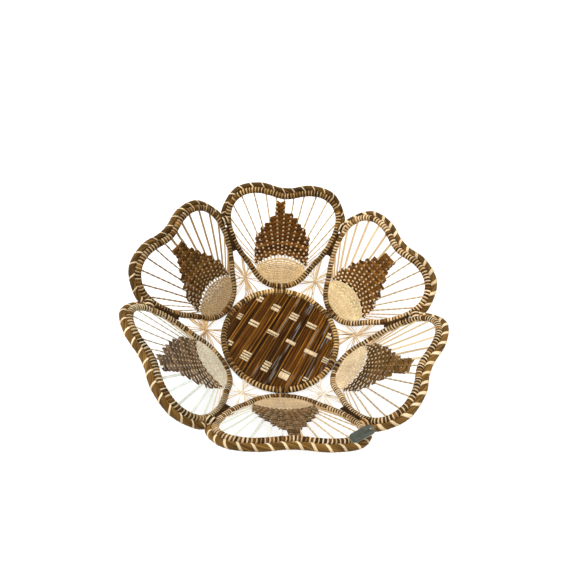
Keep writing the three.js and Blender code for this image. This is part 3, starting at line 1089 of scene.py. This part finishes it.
class BASKET_OT_webs(bpy.types.Operator):
    """Stretches the spokes from rod to leaf and weaves the six cream fans"""

    bl_idname = "basket.webs"
    bl_label = "Spokes and Fans"

    def execute(self, context):
        for i, petal in enumerate(PETAL):
            work = Work(300 + i)
            for j in range(-SPOKE_PAIRS, SPOKE_PAIRS + 1):
                self.spoke(work, i, petal, j)
            self.fan(work, i, petal)
            number = petal.number
            work.finish(f"web_{number}", "cream palm", f"petal_web_{number}", "palm_cream")
        return {"FINISHED"}

    def spoke(self, work, i, petal, j):
        """Two strands that lie side by side in the leaf and twist round each other beyond it."""
        foot = np.array([SPOKE_FOOT_PITCH * j, SPOKE_FOOT_HEIGHT])
        way = spoke_end(j) - foot
        length = np.linalg.norm(way) - ROD_RADIUS + 0.5
        way = unit(way)
        s = np.arange(0, length, 0.2)
        flat = foot + s[:, None] * way
        free = ~in_fan(flat[:, 0], flat[:, 1], 0.9) & (flat[:, 1] > rod_edge(flat[:, 0]))
        start = s[free][0]
        s = np.linspace(start, length, min(100, int((length - start) / 0.6)))
        u, v = (foot + s[:, None] * way).T
        level = row_level(u, v)
        sides = [leaf_sides(i, x) for x in level]
        woven = np.array([a - 0.6 <= x <= b + 0.6 for x, (a, b) in zip(u, sides)])
        woven &= (level < LEAF_TOPS[i]) & (level > FAN_TOP)
        leaves_at = s[woven][-1] if woven.any() else start
        levels = leaf_levels(i)
        number = np.interp(level, levels, np.arange(len(levels)))
        depth = -LEAF_DEPTH * np.cos(math.pi * (j + number)) * woven
        spare = np.maximum(0, s - leaves_at)
        half = 0 if j > 0 else 1
        wide = SPOKE_SIZES[i][half]
        twist = 2 * math.pi * spare / SPOKE_TWIST * work.random.choice([-1, 1])
        twist = twist * (wide < FLAT_SPOKE)
        bow = np.sin(math.pi * np.minimum(1, spare / max(length - leaves_at, 1)))
        sway = bow * work.random.uniform(-0.4, 0.4)
        lift = bow * work.random.uniform(-0.4, 0.4)
        pale = linear(SPOKE_PALM[i][half])
        if abs(j) > LAST_FULL_SPOKE:
            pale = pale * 0.5 + dye("tan") * 0.5
        outside = work.pale(pale, work.random.uniform(0, 0.6))
        height = np.clip((level - FAN_TOP) / (LEAF_TOPS[i] - FAN_TOP) * 2.5 - 0.6, 0, 1)
        least, most = LEAF_COVER[i]
        cover = least + (most - least) * height
        cover = (cover * work.random.uniform(0.75, 1.15, len(s)))[:, None]
        inside = dye("cream") * (1 - cover) + linear(LEAF_PALM[i]) * cover
        colour = np.where(woven[:, None], inside, outside)
        strand = sizes().spoke_strand / MM * wide
        strand = strand * (SIDE_SPOKE if abs(j) > LAST_FULL_SPOKE else 1)
        free_apart = FLAT_APART if wide > FLAT_SPOKE else TWISTED_APART
        apart = np.where(woven, WOVEN_APART, free_apart) * strand
        for side in (-1, 1):
            beside = side * apart * np.cos(twist) + sway
            turned = side * apart * np.sin(twist)
            front = depth + lift + turned
            path = petal.point(u - way[1] * beside, v + way[0] * beside, front)
            width = strand * work.random.uniform(0.9, 1.15)
            shade = work.random.uniform(0.9, 1.08)
            work.lay(path, petal.front, width, SPOKE_THICKNESS, colour * shade, sides=5)

    def fan(self, work, i, petal):
        """Rows of the fan, and over and under them the pairs of strands that run up it."""
        pale = linear(FAN_PALM[i])
        loose = (FAN_OPENNESS[i] - 1) / 0.5
        levels = fan_levels(i)
        fine = np.linspace(-FAN_HALF_WIDTH, FAN_HALF_WIDTH, 131)
        for r, level in enumerate(levels[:-1]):
            if r == 0 and loose > 0.2:
                continue
            v = level - row_drop(level, fine)
            keep = in_fan(fine, v, 1.04)
            if keep.sum() < 10:
                continue
            u, v = fine[keep], v[keep]
            v = v + 0.12 * np.sin(u * 0.9 + 2 * r)
            f = FAN_DEPTH * np.cos(math.pi * (column_number(u, v) + r))
            colour = work.pale(pale, work.random.uniform(0, 0.7))
            share = level / FAN_TOP
            wide = min((level - levels[r + 1]) * (0.98 - 0.36 * loose * share), 1.9)
            for part in np.array_split(np.arange(len(u)), 1 + len(u) // 95):
                part = np.arange(part[0], min(part[-1] + 2, len(u)))
                along = work.patchy(colour, len(part), 0.85, 1.12)
                path = petal.point(u[part], v[part], f[part])
                work.lay(path, petal.front, wide, FAN_ROW_THICKNESS, along, sides=4)
        numbers = np.arange(len(levels))
        for j in COLUMNS:
            for side in (-1, 1):
                v = np.arange(FAN_TOP + 0.4, 2, -0.5)
                beside = np.clip(0.4 + 0.02 * (v - SPOKE_FOOT_HEIGHT), 0.36, 0.55)
                u = column_at(j, v) + side * beside + work.random.uniform(-0.12, 0.12)
                keep = in_fan(u, v, 1.04)
                if keep.sum() < 4:
                    continue
                u, v, beside = u[keep], v[keep], beside[keep]
                number = np.interp(-row_level(u, v), -levels, numbers)
                f = -FAN_DEPTH * np.cos(math.pi * (j + number))
                colour = work.pale(pale, work.random.uniform(0, 0.7))
                colour = work.patchy(colour, len(u), 0.88, 1.1)
                wide = 2 * beside * (0.98 - 0.3 * loose * np.clip((v - 14) / 12, 0, 1))
                path = petal.point(u, v, f)
                work.lay(path, petal.front, wide, FAN_WARP_THICKNESS, colour, sides=4)


# Rope and lashings.


class BASKET_OT_rope(bpy.types.Operator):
    """Lays the brown rope of the rim and winds its cream strip"""

    bl_idname = "basket.rope"
    bl_label = "Rim Rope"

    def execute(self, context):
        work = Work(400)
        line = rope_line()
        way = way_round(line)
        outward = unit(line * np.array([1, 1, 0]))
        side = outward * math.sin(LEAN) - UP * math.cos(LEAN)
        side = unit(side - way * (side * way).sum(1, keepdims=True))
        inner = np.cross(way, side)
        run = run_along(np.append(line, line[:1], axis=0))
        total = run[-1]

        def at(s, radius, angle):
            """Places at length s, angle 0 on the inner side and 90 degrees on the front."""
            s = np.asarray(s) % total
            made = []
            for k in range(3):
                middle, a, b = (np.append(x[:, k], x[0, k]) for x in (line, inner, -side))
                away = np.cos(angle) * np.interp(s, run, a) + np.sin(angle) * np.interp(s, run, b)
                made.append(np.interp(s, run, middle) + radius * away)
            return np.stack(made, -1)

        for n in range(ROPE_STRANDS):
            colour = work.between(dye("rope"), dye("dark"), work.random.uniform(0, 0.6))
            for part in range(PETALS):
                s = np.linspace(total * part / PETALS, total * (part + 1) / PETALS, 96)
                angle = 2 * math.pi * (n / ROPE_STRANDS + ROPE_ROUNDS * s / total)
                path = at(s, ROPE_RADIUS - 0.05, angle)
                up = unit(path - at(s, 0, angle))
                places = np.arange(PETALS) + 0.45
                tone = np.interp(s / total * PETALS, places, ROPE_TONES, period=PETALS)
                shade = work.patchy(colour, len(s), 0.6, 1.6) * tone[:, None]
                work.lay(path, up, ROPE_STRAND_WIDTH, ROPE_STRAND_THICKNESS, shade, sides=5)
        turns = round(total / (sizes().rope_pitch / MM))
        for n in range(turns):
            s = np.linspace(total * n / turns, total * (n + 1) / turns, 19)
            angle = 2 * math.pi * s * turns / total + 0.3 * math.sin(n)
            path = at(s, ROPE_RADIUS + ROPE_STRIP_LIFT, angle)
            wide = ROPE_STRIPS[n * PETALS // turns] * work.random.uniform(0.85, 1.15)
            colour = work.between(dye("cream"), dye("tan"), work.random.uniform(0, 0.35))
            work.lay(path, unit(path - at(s, 0, angle)), wide, ROPE_STRIP_THICKNESS, colour)
        work.finish("rope", "rope palm", "rim_rope", "rope")
        return {"FINISHED"}


def hull_2d(points):
    """Convex hull of 2D points, in turning order."""
    points = sorted(map(tuple, points))

    def half(run):
        """The hull's points on one side."""
        made = []
        for p in run:
            while len(made) > 1:
                (ax, ay), (bx, by) = made[-2], made[-1]
                if (bx - ax) * (p[1] - ay) - (by - ay) * (p[0] - ax) > 0:
                    break
                made.pop()
            made.append(p)
        return made[:-1]

    return np.array(half(points) + half(points[::-1]))


def loop_round(centres, radii, axis, count=36):
    """Closed path pulled tight round several rods that run along the axis."""
    centres = np.array(centres)
    middle = centres.mean(0)
    first = unit(centres[0] - middle - axis * (centres[0] - middle).dot(axis))
    second = np.cross(axis, first)
    turn = np.linspace(0, 2 * math.pi, 25)[:-1]
    flat = []
    for centre, radius in zip(centres, radii):
        x, y = (centre - middle).dot(first), (centre - middle).dot(second)
        flat.extend(np.stack([x + radius * np.cos(turn), y + radius * np.sin(turn)], -1))
    hull = hull_2d(flat)
    closed = np.concatenate([hull, hull[:1]])
    run = run_along(closed)
    s = np.linspace(0, run[-1], count + 1)[:-1]
    x, y = np.interp(s, run, closed[:, 0]), np.interp(s, run, closed[:, 1])
    return middle + x[:, None] * first + y[:, None] * second, middle


class BASKET_OT_seams(bpy.types.Operator):
    """Plaits the dark seams between neighbouring petals"""

    bl_idname = "basket.seams"
    bl_label = "Seams"

    def execute(self, context):
        per_degree = np.linalg.norm(outline(TOUCH_ANGLE + 0.5) - outline(TOUCH_ANGLE - 0.5))
        for i, petal in enumerate(PETAL):
            work = Work(500 + i)
            after = PETAL[(i + 1) % PETALS]
            along = np.linspace(-SEAM_BELOW, SEAM_ABOVE, 90)
            left = petal.rim(TOUCH_ANGLE + along / per_degree)
            right = after.rim(-TOUCH_ANGLE - along / per_degree)
            middle = (left + right) / 2
            across = unit(right - left)
            way = unit(np.gradient(middle, axis=0))
            normal = unit(np.cross(across, way))
            apart = np.linalg.norm(right - left, axis=1) / 2
            for face in (-1, 1):
                for phase in (0, math.pi):
                    swing = 2 * math.pi * along / PLAIT_PITCH + phase
                    reach = np.minimum(apart - ROD_RADIUS, PLAIT_REACH) + PLAIT_STRAND / 2
                    path = middle + across * (np.sin(swing) * reach)[:, None]
                    lift = face * (PLAIT_LIFT + 0.3 * np.cos(2 * swing + phase))
                    path = path + normal * lift[:, None]
                    colour = work.between(dye("dark"), dye("brown"), work.random.uniform(0, 0.3))
                    shade = work.patchy(colour, len(path), 0.6, 2.0)
                    work.lay(path, normal, PLAIT_STRAND, 1.0, shade)
            number = petal.number
            work.finish(f"plait_{number}", "brown palm", f"seam_{number}", "lashing")
        return {"FINISHED"}


class BASKET_OT_lashings(bpy.types.Operator):
    """Binds each petal's foot to the base and the rope to the petals"""

    bl_idname = "basket.lashings"
    bl_label = "Lashings"

    def execute(self, context):
        line = rope_line()
        span = len(line) // PETALS
        for i, petal in enumerate(PETAL):
            self.foot(i, petal)
            self.rim(i, petal, line, (i + 1) * span)
        return {"FINISHED"}

    def foot(self, i, petal):
        """Turns that cross over between the rods, so that the valley between them stays open."""
        work = Work(600 + i)
        per_degree = np.linalg.norm(outline(0.5) - outline(-0.5))
        turn = np.radians(np.linspace(52, 308, FOOT_TURN_STEPS))
        radius = ROD_RADIUS + 0.2
        for k, s in enumerate(np.linspace(-FOOT_TURNS_REACH, FOOT_TURNS_REACH, FOOT_TURNS)):
            near = petal.rim(-s / per_degree)
            far = ring_point(petal.azimuth - s / RING_RADIUS)
            axis = unit(petal.across + 0.12 * petal.out * (-1) ** k)
            first = unit(far - near - axis * (far - near).dot(axis))
            second = np.cross(axis, first)
            cosine, sine = np.cos(turn)[:, None] * first, np.sin(turn)[:, None] * second
            path = np.concatenate([near + radius * (cosine + sine), far - radius * (cosine - sine)])
            middle = np.repeat([near, far], FOOT_TURN_STEPS, axis=0)
            dyes = ("tan", "brown") if k in (1, 4) else ("brown", "dark")
            colour = work.between(*map(dye, dyes))
            work.lay(path, unit(path - middle), FOOT_TURN_WIDTH, 0.4, colour, closed=True)
        number = petal.number
        work.finish(f"foot_binding_{number}", "wrapped palm", f"foot_lashing_{number}", "lashing")

    def rim(self, i, petal, line, dip):
        """Turns round the rope and two petals, at the lowest of the rope's steps up to dip."""
        work = Work(700 + i)
        after = PETAL[(i + 1) % PETALS]
        count = len(line)
        before = range(dip - 3 * ROPE_SPAN_STEPS, dip + 1)
        low = min(before, key=lambda k: np.hypot(*line[k % count][:2]))
        rims = [p.rim(np.arange(0, 360, 1.0)) for p in (petal, after)]
        radii = [ROPE_RADIUS + GAP, ROD_RADIUS + GAP, ROD_RADIUS + GAP]
        axis = unit(line[(low + 2) % count] - line[(low - 2) % count])
        for k, s in enumerate(TIE_PLACES):
            rope = line[(low + round(s * 0.6)) % count]
            near = [rim[np.linalg.norm(rim - rope, axis=1).argmin()] for rim in rims]
            path, middle = loop_round([rope, *near], radii, axis)
            path = path + axis * s * 0.8
            dyes = ("cream", "tan") if k in (0, 2) else ("brown", "dark")
            colour = work.between(*map(dye, dyes))
            work.lay(path, unit(path - middle), TIE_TURN_WIDTH, 0.5, colour, closed=True)
        number = petal.number
        work.finish(f"rim_binding_{number}", "wrapped palm", f"rim_tie_{number}", "lashing")


class BASKET_OT_stars(bpy.types.Operator):
    """Ties the thread stars between the petals"""

    bl_idname = "basket.stars"
    bl_label = "Thread Stars"

    def execute(self, context):
        for i, petal in enumerate(PETAL):
            work = Work(800 + i)
            after = PETAL[(i + 1) % PETALS]
            azimuth = petal.azimuth + HALF_ANGLE
            touch = (petal.rim(TOUCH_ANGLE) + after.rim(-TOUCH_ANGLE)) / 2
            knot = ring_point(azimuth) * (1 - KNOT_SHARE) + touch * KNOT_SHARE - UP * KNOT_SAG
            ends = []
            for angle in np.linspace(*THREAD_ANGLES, SIDE_THREADS):
                for p, way in ((petal, 1), (after, -1)):
                    bundle = work.random.choice([1, 2, 3, 4], p=BUNDLE_CHANCES)
                    start = angle + work.random.uniform(-3, 3)
                    ends.extend(p.rim(way * (start + 2.6 * k)) for k in range(bundle))
            for turn in np.radians(RING_THREAD_ANGLES):
                bundle = work.random.choice([1, 2, 3])
                start = azimuth + turn + work.random.uniform(-0.04, 0.04)
                ends.extend(ring_point(start + 0.03 * k) for k in range(bundle))
            self.threads(work, knot, ends, linear(STAR_PALM[i]))
            number = petal.number
            work.finish(f"thread_star_{number}", "cream palm", f"star_{number}", "thread")
        return {"FINISHED"}

    def threads(self, work, knot, ends, palm_dye):
        """Threads from the knot to their ends, and the turns of the knot."""
        width = sizes().thread_width / MM
        up = unit(np.cross(ends[0] - knot, ends[1] - knot))
        up = up if up[2] > 0 else -up
        for end in ends:
            way = end - knot
            length = np.linalg.norm(way)
            t = np.linspace(0, 1 - (ROD_RADIUS - 0.4) / length, 9)[:, None]
            side = np.cross(unit(way), up)
            sag = up * work.random.uniform(-1, 1) + side * work.random.uniform(-1.6, 1.6)
            root = up * work.random.uniform(-0.6, 0.6) + side * work.random.uniform(-1, 1)
            path = knot + way * t + sag * np.sin(math.pi * t) + root * (1 - t)
            colour = work.pale(palm_dye, work.random.uniform(-0.3, 0.5))
            work.lay(path, up, width * work.random.uniform(0.5, 1.05), 0.6, colour, sides=5)
        turn = 2 * math.pi * np.arange(12)[:, None] / 12
        for _ in range(KNOT_TURNS):
            axis = unit(up + 0.5 * work.random.uniform(-1, 1, 3))
            first = unit(np.cross(axis, [1, 0, 0]))
            second = np.cross(axis, first)
            path = knot + KNOT_RADIUS * (np.cos(turn) * first + np.sin(turn) * second)
            work.lay(path, axis, 1.1, 1.0, work.pale(palm_dye, 0.3), sides=5, closed=True)


# Base.


def block_height(rows):
    """Height of a block with rows of these heights."""
    return sum(rows) + BLOCK_ROW_GAP * (len(rows) - 1)


class BASKET_OT_base(bpy.types.Operator):
    """Lays the brown strips of the base and the cream strands that come up through them"""

    bl_idname = "basket.base"
    bl_label = "Woven Base"

    def execute(self, context):
        self.brown_strips()
        self.cream_strands()
        return {"FINISHED"}

    def place(self, along, across, z):
        """Place along and across the strips, at height z over the middle of the mat."""
        along, across, z = (np.asarray(x, float)[..., None] for x in (along, across, z))
        strip = np.array([math.cos(STRIP_ANGLE), math.sin(STRIP_ANGLE), 0])
        cross = np.array([math.sin(STRIP_ANGLE), -math.cos(STRIP_ANGLE), 0])
        return along * strip + across * cross + (RING_HEIGHT + z) * UP

    def brown_strips(self):
        """Brown strips side by side, pressed down under the blocks, with a dark strip under each gap
        as painted shade between them.
        """
        work = Work(900)
        pitch = sizes().base_strip / MM
        reach = MAT_RADIUS + 0.6
        count = int(reach / pitch)
        brown, dark, light = dye("brown"), dye("dark"), dye("highlight_brown")
        grey = linear(SHEEN_GREY)
        for k in range(-count, count + 1):
            across = k * pitch + work.random.uniform(-0.15, 0.15)
            half = math.sqrt(max(reach**2 - across**2, 1))
            along = np.linspace(-half, half, max(8, int(half / 0.8)))
            z = 0.3 + work.random.uniform(-0.1, 0.16) + 0.06 * np.sin(along * 0.35 + k)
            wander = 0.2 * np.sin(along * 0.07 + work.random.uniform(0, 6))
            for a, c, wide, rows in BLOCKS:
                if abs(across - c) < wide / 2:
                    edge = np.abs(along - a) - block_height(rows) / 2
                    z = z - 0.9 / (1 + np.exp((edge - 0.1) * 4))
            colour = work.between(brown, dark, work.random.uniform(0, 1)) * np.array(STRIP_DYE)
            # Some strips are light brown all along, as painted highlights.
            chance = work.random.uniform()
            if chance < HIGHLIGHT_STRIPS:
                colour = work.between(brown, light) * np.array(HIGHLIGHT_STRIP_DYE)
            shades = work.patchy(colour, len(along), 0.6, 1.35)
            # Grey patches along some strips: painted sheen where the strips shine.
            if SHEEN_STRIPS[0] < chance < SHEEN_STRIPS[1] and across > -6:
                sheen_share = np.clip(work.patchy(np.ones(3), len(along), -1.2, 1.4), 0, 0.8)
                shades = shades * (1 - sheen_share) + grey * sheen_share
            path = self.place(along, across + wander, z)
            work.lay(path, UP, pitch * STRIP_WIDTH, STRIP_THICKNESS, shades)
            # A dark strip under the gap beside each strip: painted shade between the strips.
            beside = self.place(along[::2], (across + wander + pitch / 2)[::2], -0.1)
            work.lay(beside, UP, 1.1, 0.4, dark * 0.6, sides=4)
        work.finish("base_strips", "base palm", "base_mat", "palm_brown")

    def cream_strands(self):
        """Cream strands across and under the strips, and the blocks where they come up."""
        work = Work(950)
        reach = MAT_RADIUS + 0.4
        count = int((reach - STRAND_WIDTH) / STRAND_PITCH)
        for k in range(-count, count + 1):
            along = k * STRAND_PITCH
            half = math.sqrt(reach**2 - along**2)
            across = np.linspace(-half, half, 30)
            z = -0.75 + 0.08 * np.sin(across * 0.8 + k)
            colour = work.between(dye("cream"), dye("tan"))
            path = self.place(along + 0 * across, across, z)
            work.lay(path, UP, STRAND_WIDTH, 0.7, colour)
        for a, c, wide, rows in BLOCKS:
            start = a - block_height(rows) / 2
            for tall in rows:
                self.row(work, start + tall / 2, c, wide, tall)
                start += tall + BLOCK_ROW_GAP
        work.finish("base_blocks", "cream palm", "base_strands", "palm_cream")

    def row(self, work, along, across, wide, tall):
        """One row of a block: short cream stitches side by side."""
        count = max(3, round(wide / STITCH_WIDTH))
        for k in range(count):
            x = across + wide * ((k + 0.5) / count - 0.5)
            y = along + (tall - 0.6) * np.linspace(-0.5, 0.5, 7)
            y = y + work.random.uniform(-0.15, 0.15)
            if math.hypot(x, along) > MAT_RADIUS - 1:
                continue
            z = 0.62 - 0.75 * np.abs(np.linspace(-1, 1, 7)) ** 4
            colour = work.between(dye("cream"), dye("tan"), work.random.uniform(-0.2, 0.35))
            work.lay(self.place(y, x + 0 * y, z), UP, wide / count * 0.9, 0.55, colour)


class BASKET_OT_tag(bpy.types.Operator):
    """Models the bare metal tag on the rim"""

    bl_idname = "basket.tag"
    bl_label = "Tag"

    def execute(self, context):
        petal = PETAL[TAG_PETAL]
        tangent = unit(petal.way(*TAG_WAY))
        face = petal.way(*TAG_FACE)
        face = unit(face - tangent * face.dot(tangent))
        centre = petal.rim(TAG_ANGLE, 1.0) + face * (ROD_RADIUS + GAP + TAG_LIFT)
        tag = self.plate()
        axes = Matrix((tangent, np.cross(face, tangent), face)).transposed()
        tag.data.transform(Matrix.Translation(Vector(centre) * MM) @ axes.to_4x4())
        tag.matrix_world = Matrix.Identity(4)
        tag.name = tag.data.name = "metal_tag"
        tag.data.materials.clear()
        tag.data.materials.append(finish_of("steel"))
        tag.data.materials.append(finish_of("edge highlight steel"))
        # Sides and bevels take the lighter finish, a painted highlight along the tag's edge.
        for polygon in tag.data.polygons:
            polygon.material_index = int(abs(polygon.normal.dot(Vector(face))) < 0.8)
        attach(tag, "root")
        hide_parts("tag")
        return {"FINISHED"}

    def plate(self):
        """An oval plate with a sunken edge and a hole near one end, flat at the origin."""
        deselect()
        bpy.ops.mesh.primitive_cylinder_add(
            vertices=48, radius=TAG_RADIUS * MM, depth=TAG_THICKNESS * MM
        )
        tag = bpy.context.object
        bpy.ops.object.mode_set(mode="EDIT")
        for way, least in ((-1, 0.01 * MM), (1, -0.01 * MM)):
            select_by(lambda v: v.co.x * way > least, "VERT")
            bpy.ops.transform.translate(value=(way * TAG_HALF_STRAIGHT * MM, 0, 0))
        select_by(lambda f: abs(f.normal.z) > 0.9, "FACE")
        bpy.ops.mesh.inset(thickness=TAG_EDGE * MM)
        bpy.ops.mesh.inset(thickness=TAG_EDGE_SLOPE * MM, depth=-TAG_EDGE_DEPTH * MM)
        bpy.ops.object.mode_set(mode="OBJECT")
        bpy.ops.mesh.primitive_cylinder_add(
            vertices=20,
            radius=TAG_HOLE_RADIUS * MM,
            depth=4 * MM,
            location=(TAG_HOLE_PLACE * MM, 0, 0),
        )
        punch = bpy.context.object
        cut = tag.modifiers.new("hole", "BOOLEAN")
        cut.operation = "DIFFERENCE"
        cut.object = punch
        bevel = tag.modifiers.new("edge", "BEVEL")
        bevel.width = 0.12 * MM
        bevel.segments = 2
        bevel.limit_method = "ANGLE"
        deselect()
        tag.select_set(True)
        bpy.context.view_layer.objects.active = tag
        bpy.ops.object.modifier_apply(modifier="hole")
        bpy.ops.object.modifier_apply(modifier="edge")
        bpy.data.objects.remove(punch)
        bpy.ops.object.shade_smooth_by_angle(angle=math.radians(35))
        return tag


# Stage.


class BASKET_OT_stage(bpy.types.Operator):
    """Sets the floor, the soft light and the camera"""

    bl_idname = "basket.stage"
    bl_label = "Stage"

    def execute(self, context):
        self.floor()
        self.light()
        self.camera()
        context.scene.view_settings.view_transform = "Standard"
        return {"FINISHED"}

    def floor(self):
        """A pale floor that looks white and keeps the basket's shadow."""
        deselect()
        bpy.ops.mesh.primitive_plane_add(size=FLOOR_SIZE, location=(0, 0, 0))
        floor = bpy.context.object
        floor.name = "floor"
        n = Nodes("floor")
        n.shader.inputs["Base Color"].default_value = (*dye("floor"), 1)
        n.shader.inputs["Roughness"].default_value = 0.9
        path = n.add("ShaderNodeLightPath")
        seen = n.maths("MAXIMUM", path.outputs["Is Camera Ray"], path.outputs["Is Glossy Ray"])
        seen = n.maths("MAXIMUM", seen, path.outputs["Is Transmission Ray"])
        glow = n.add("ShaderNodeEmission")
        glow.inputs["Strength"].default_value = FLOOR_GLOW
        dim = n.add("ShaderNodeBsdfDiffuse")
        dim.inputs["Color"].default_value = (FLOOR_GREY, FLOOR_GREY, FLOOR_GREY, 1)
        both = n.add("ShaderNodeAddShader")
        n.join(glow.outputs[0], both.inputs[0])
        n.join(dim.outputs[0], both.inputs[1])
        mix = n.add("ShaderNodeMixShader")
        n.join(seen, mix.inputs[0])
        n.join(n.shader.outputs[0], mix.inputs[1])
        n.join(both.outputs[0], mix.inputs[2])
        n.join(mix.outputs[0], n.output.inputs["Surface"])
        floor.data.materials.append(n.material)

    def light(self):
        """A white sky and two soft lamps."""
        world = bpy.data.worlds.new("studio")
        bpy.context.scene.world = world
        world.use_nodes = True
        sky = world.node_tree.nodes["Background"]
        sky.inputs["Color"].default_value = (1, 1, 1, 1)
        sky.inputs["Strength"].default_value = SKY_LIGHT
        for name, place, size, power in LAMPS:
            deselect()
            bpy.ops.object.light_add(type="AREA", location=place)
            lamp = bpy.context.object
            lamp.name = name
            lamp.data.size = size
            lamp.data.energy = power
            lamp.rotation_euler = (-Vector(place)).to_track_quat("-Z", "Y").to_euler()

    def camera(self):
        """The camera, at the angle from which the basket is seen."""
        azimuth, elevation, roll = (math.radians(x) for x in CAMERA_ANGLES)
        level = np.array([math.sin(azimuth), -math.cos(azimuth), 0])
        back = level * math.cos(elevation) + UP * math.sin(elevation)
        right = unit(np.cross(-back, UP))
        up = np.cross(right, -back)
        across = right * math.cos(roll) + up * math.sin(roll)
        upward = up * math.cos(roll) - right * math.sin(roll)
        deselect()
        bpy.ops.object.camera_add()
        camera = bpy.context.object
        camera.name = "camera"
        turn = Matrix((across, upward, back)).transposed().to_4x4()
        place = Vector(back) * CAMERA_DISTANCE + Vector((0, 0, RING_HEIGHT * MM))
        camera.matrix_world = Matrix.Translation(place) @ turn
        camera.data.sensor_width = SENSOR_WIDTH
        camera.data.lens = SENSOR_WIDTH * FOCAL_LENGTH / PICTURE_SIDE
        camera.data.shift_x = (PICTURE_SIDE / 2 - PICTURE_CENTRE[0]) / PICTURE_SIDE
        camera.data.shift_y = (PICTURE_CENTRE[1] - PICTURE_SIDE / 2) / PICTURE_SIDE
        camera.data.clip_start = 0.01
        bpy.context.scene.camera = camera


OPERATORS = (
    BASKET_OT_petal_rods,
    BASKET_OT_base_rod,
    BASKET_OT_leaves,
    BASKET_OT_webs,
    BASKET_OT_rope,
    BASKET_OT_seams,
    BASKET_OT_lashings,
    BASKET_OT_stars,
    BASKET_OT_base,
    BASKET_OT_tag,
    BASKET_OT_stage,
)


class BASKET_PT_panel(bpy.types.Panel):
    """Sizes, colours and pieces of the basket"""

    bl_label = "Palm Basket"
    bl_idname = "BASKET_PT_panel"
    bl_space_type = "VIEW_3D"
    bl_region_type = "UI"
    bl_category = "Basket"

    def draw(self, context):
        for group in (context.scene.basket_sizes, context.scene.basket_colours):
            box = self.layout.box()
            for key in group.__annotations__:
                box.prop(group, key)
        for made in OPERATORS:
            self.layout.operator(made.bl_idname)


CLASSES = (BasketSizes, BasketColours, *OPERATORS, BASKET_PT_panel)


def register():
    """Adds the basket's classes and settings to Blender."""
    for made in CLASSES:
        bpy.utils.register_class(made)
    bpy.types.Scene.basket_sizes = bpy.props.PointerProperty(type=BasketSizes)
    bpy.types.Scene.basket_colours = bpy.props.PointerProperty(type=BasketColours)


def unregister():
    """Takes them away again."""
    del bpy.types.Scene.basket_colours
    del bpy.types.Scene.basket_sizes
    for made in reversed(CLASSES):
        bpy.utils.unregister_class(made)


def main():
    """Builds the basket with its operators."""
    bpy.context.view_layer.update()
    register()
    for made in OPERATORS:
        group, name = made.bl_idname.split(".")
        getattr(getattr(bpy.ops, group), name)()


if __name__ == "__main__":
    main()
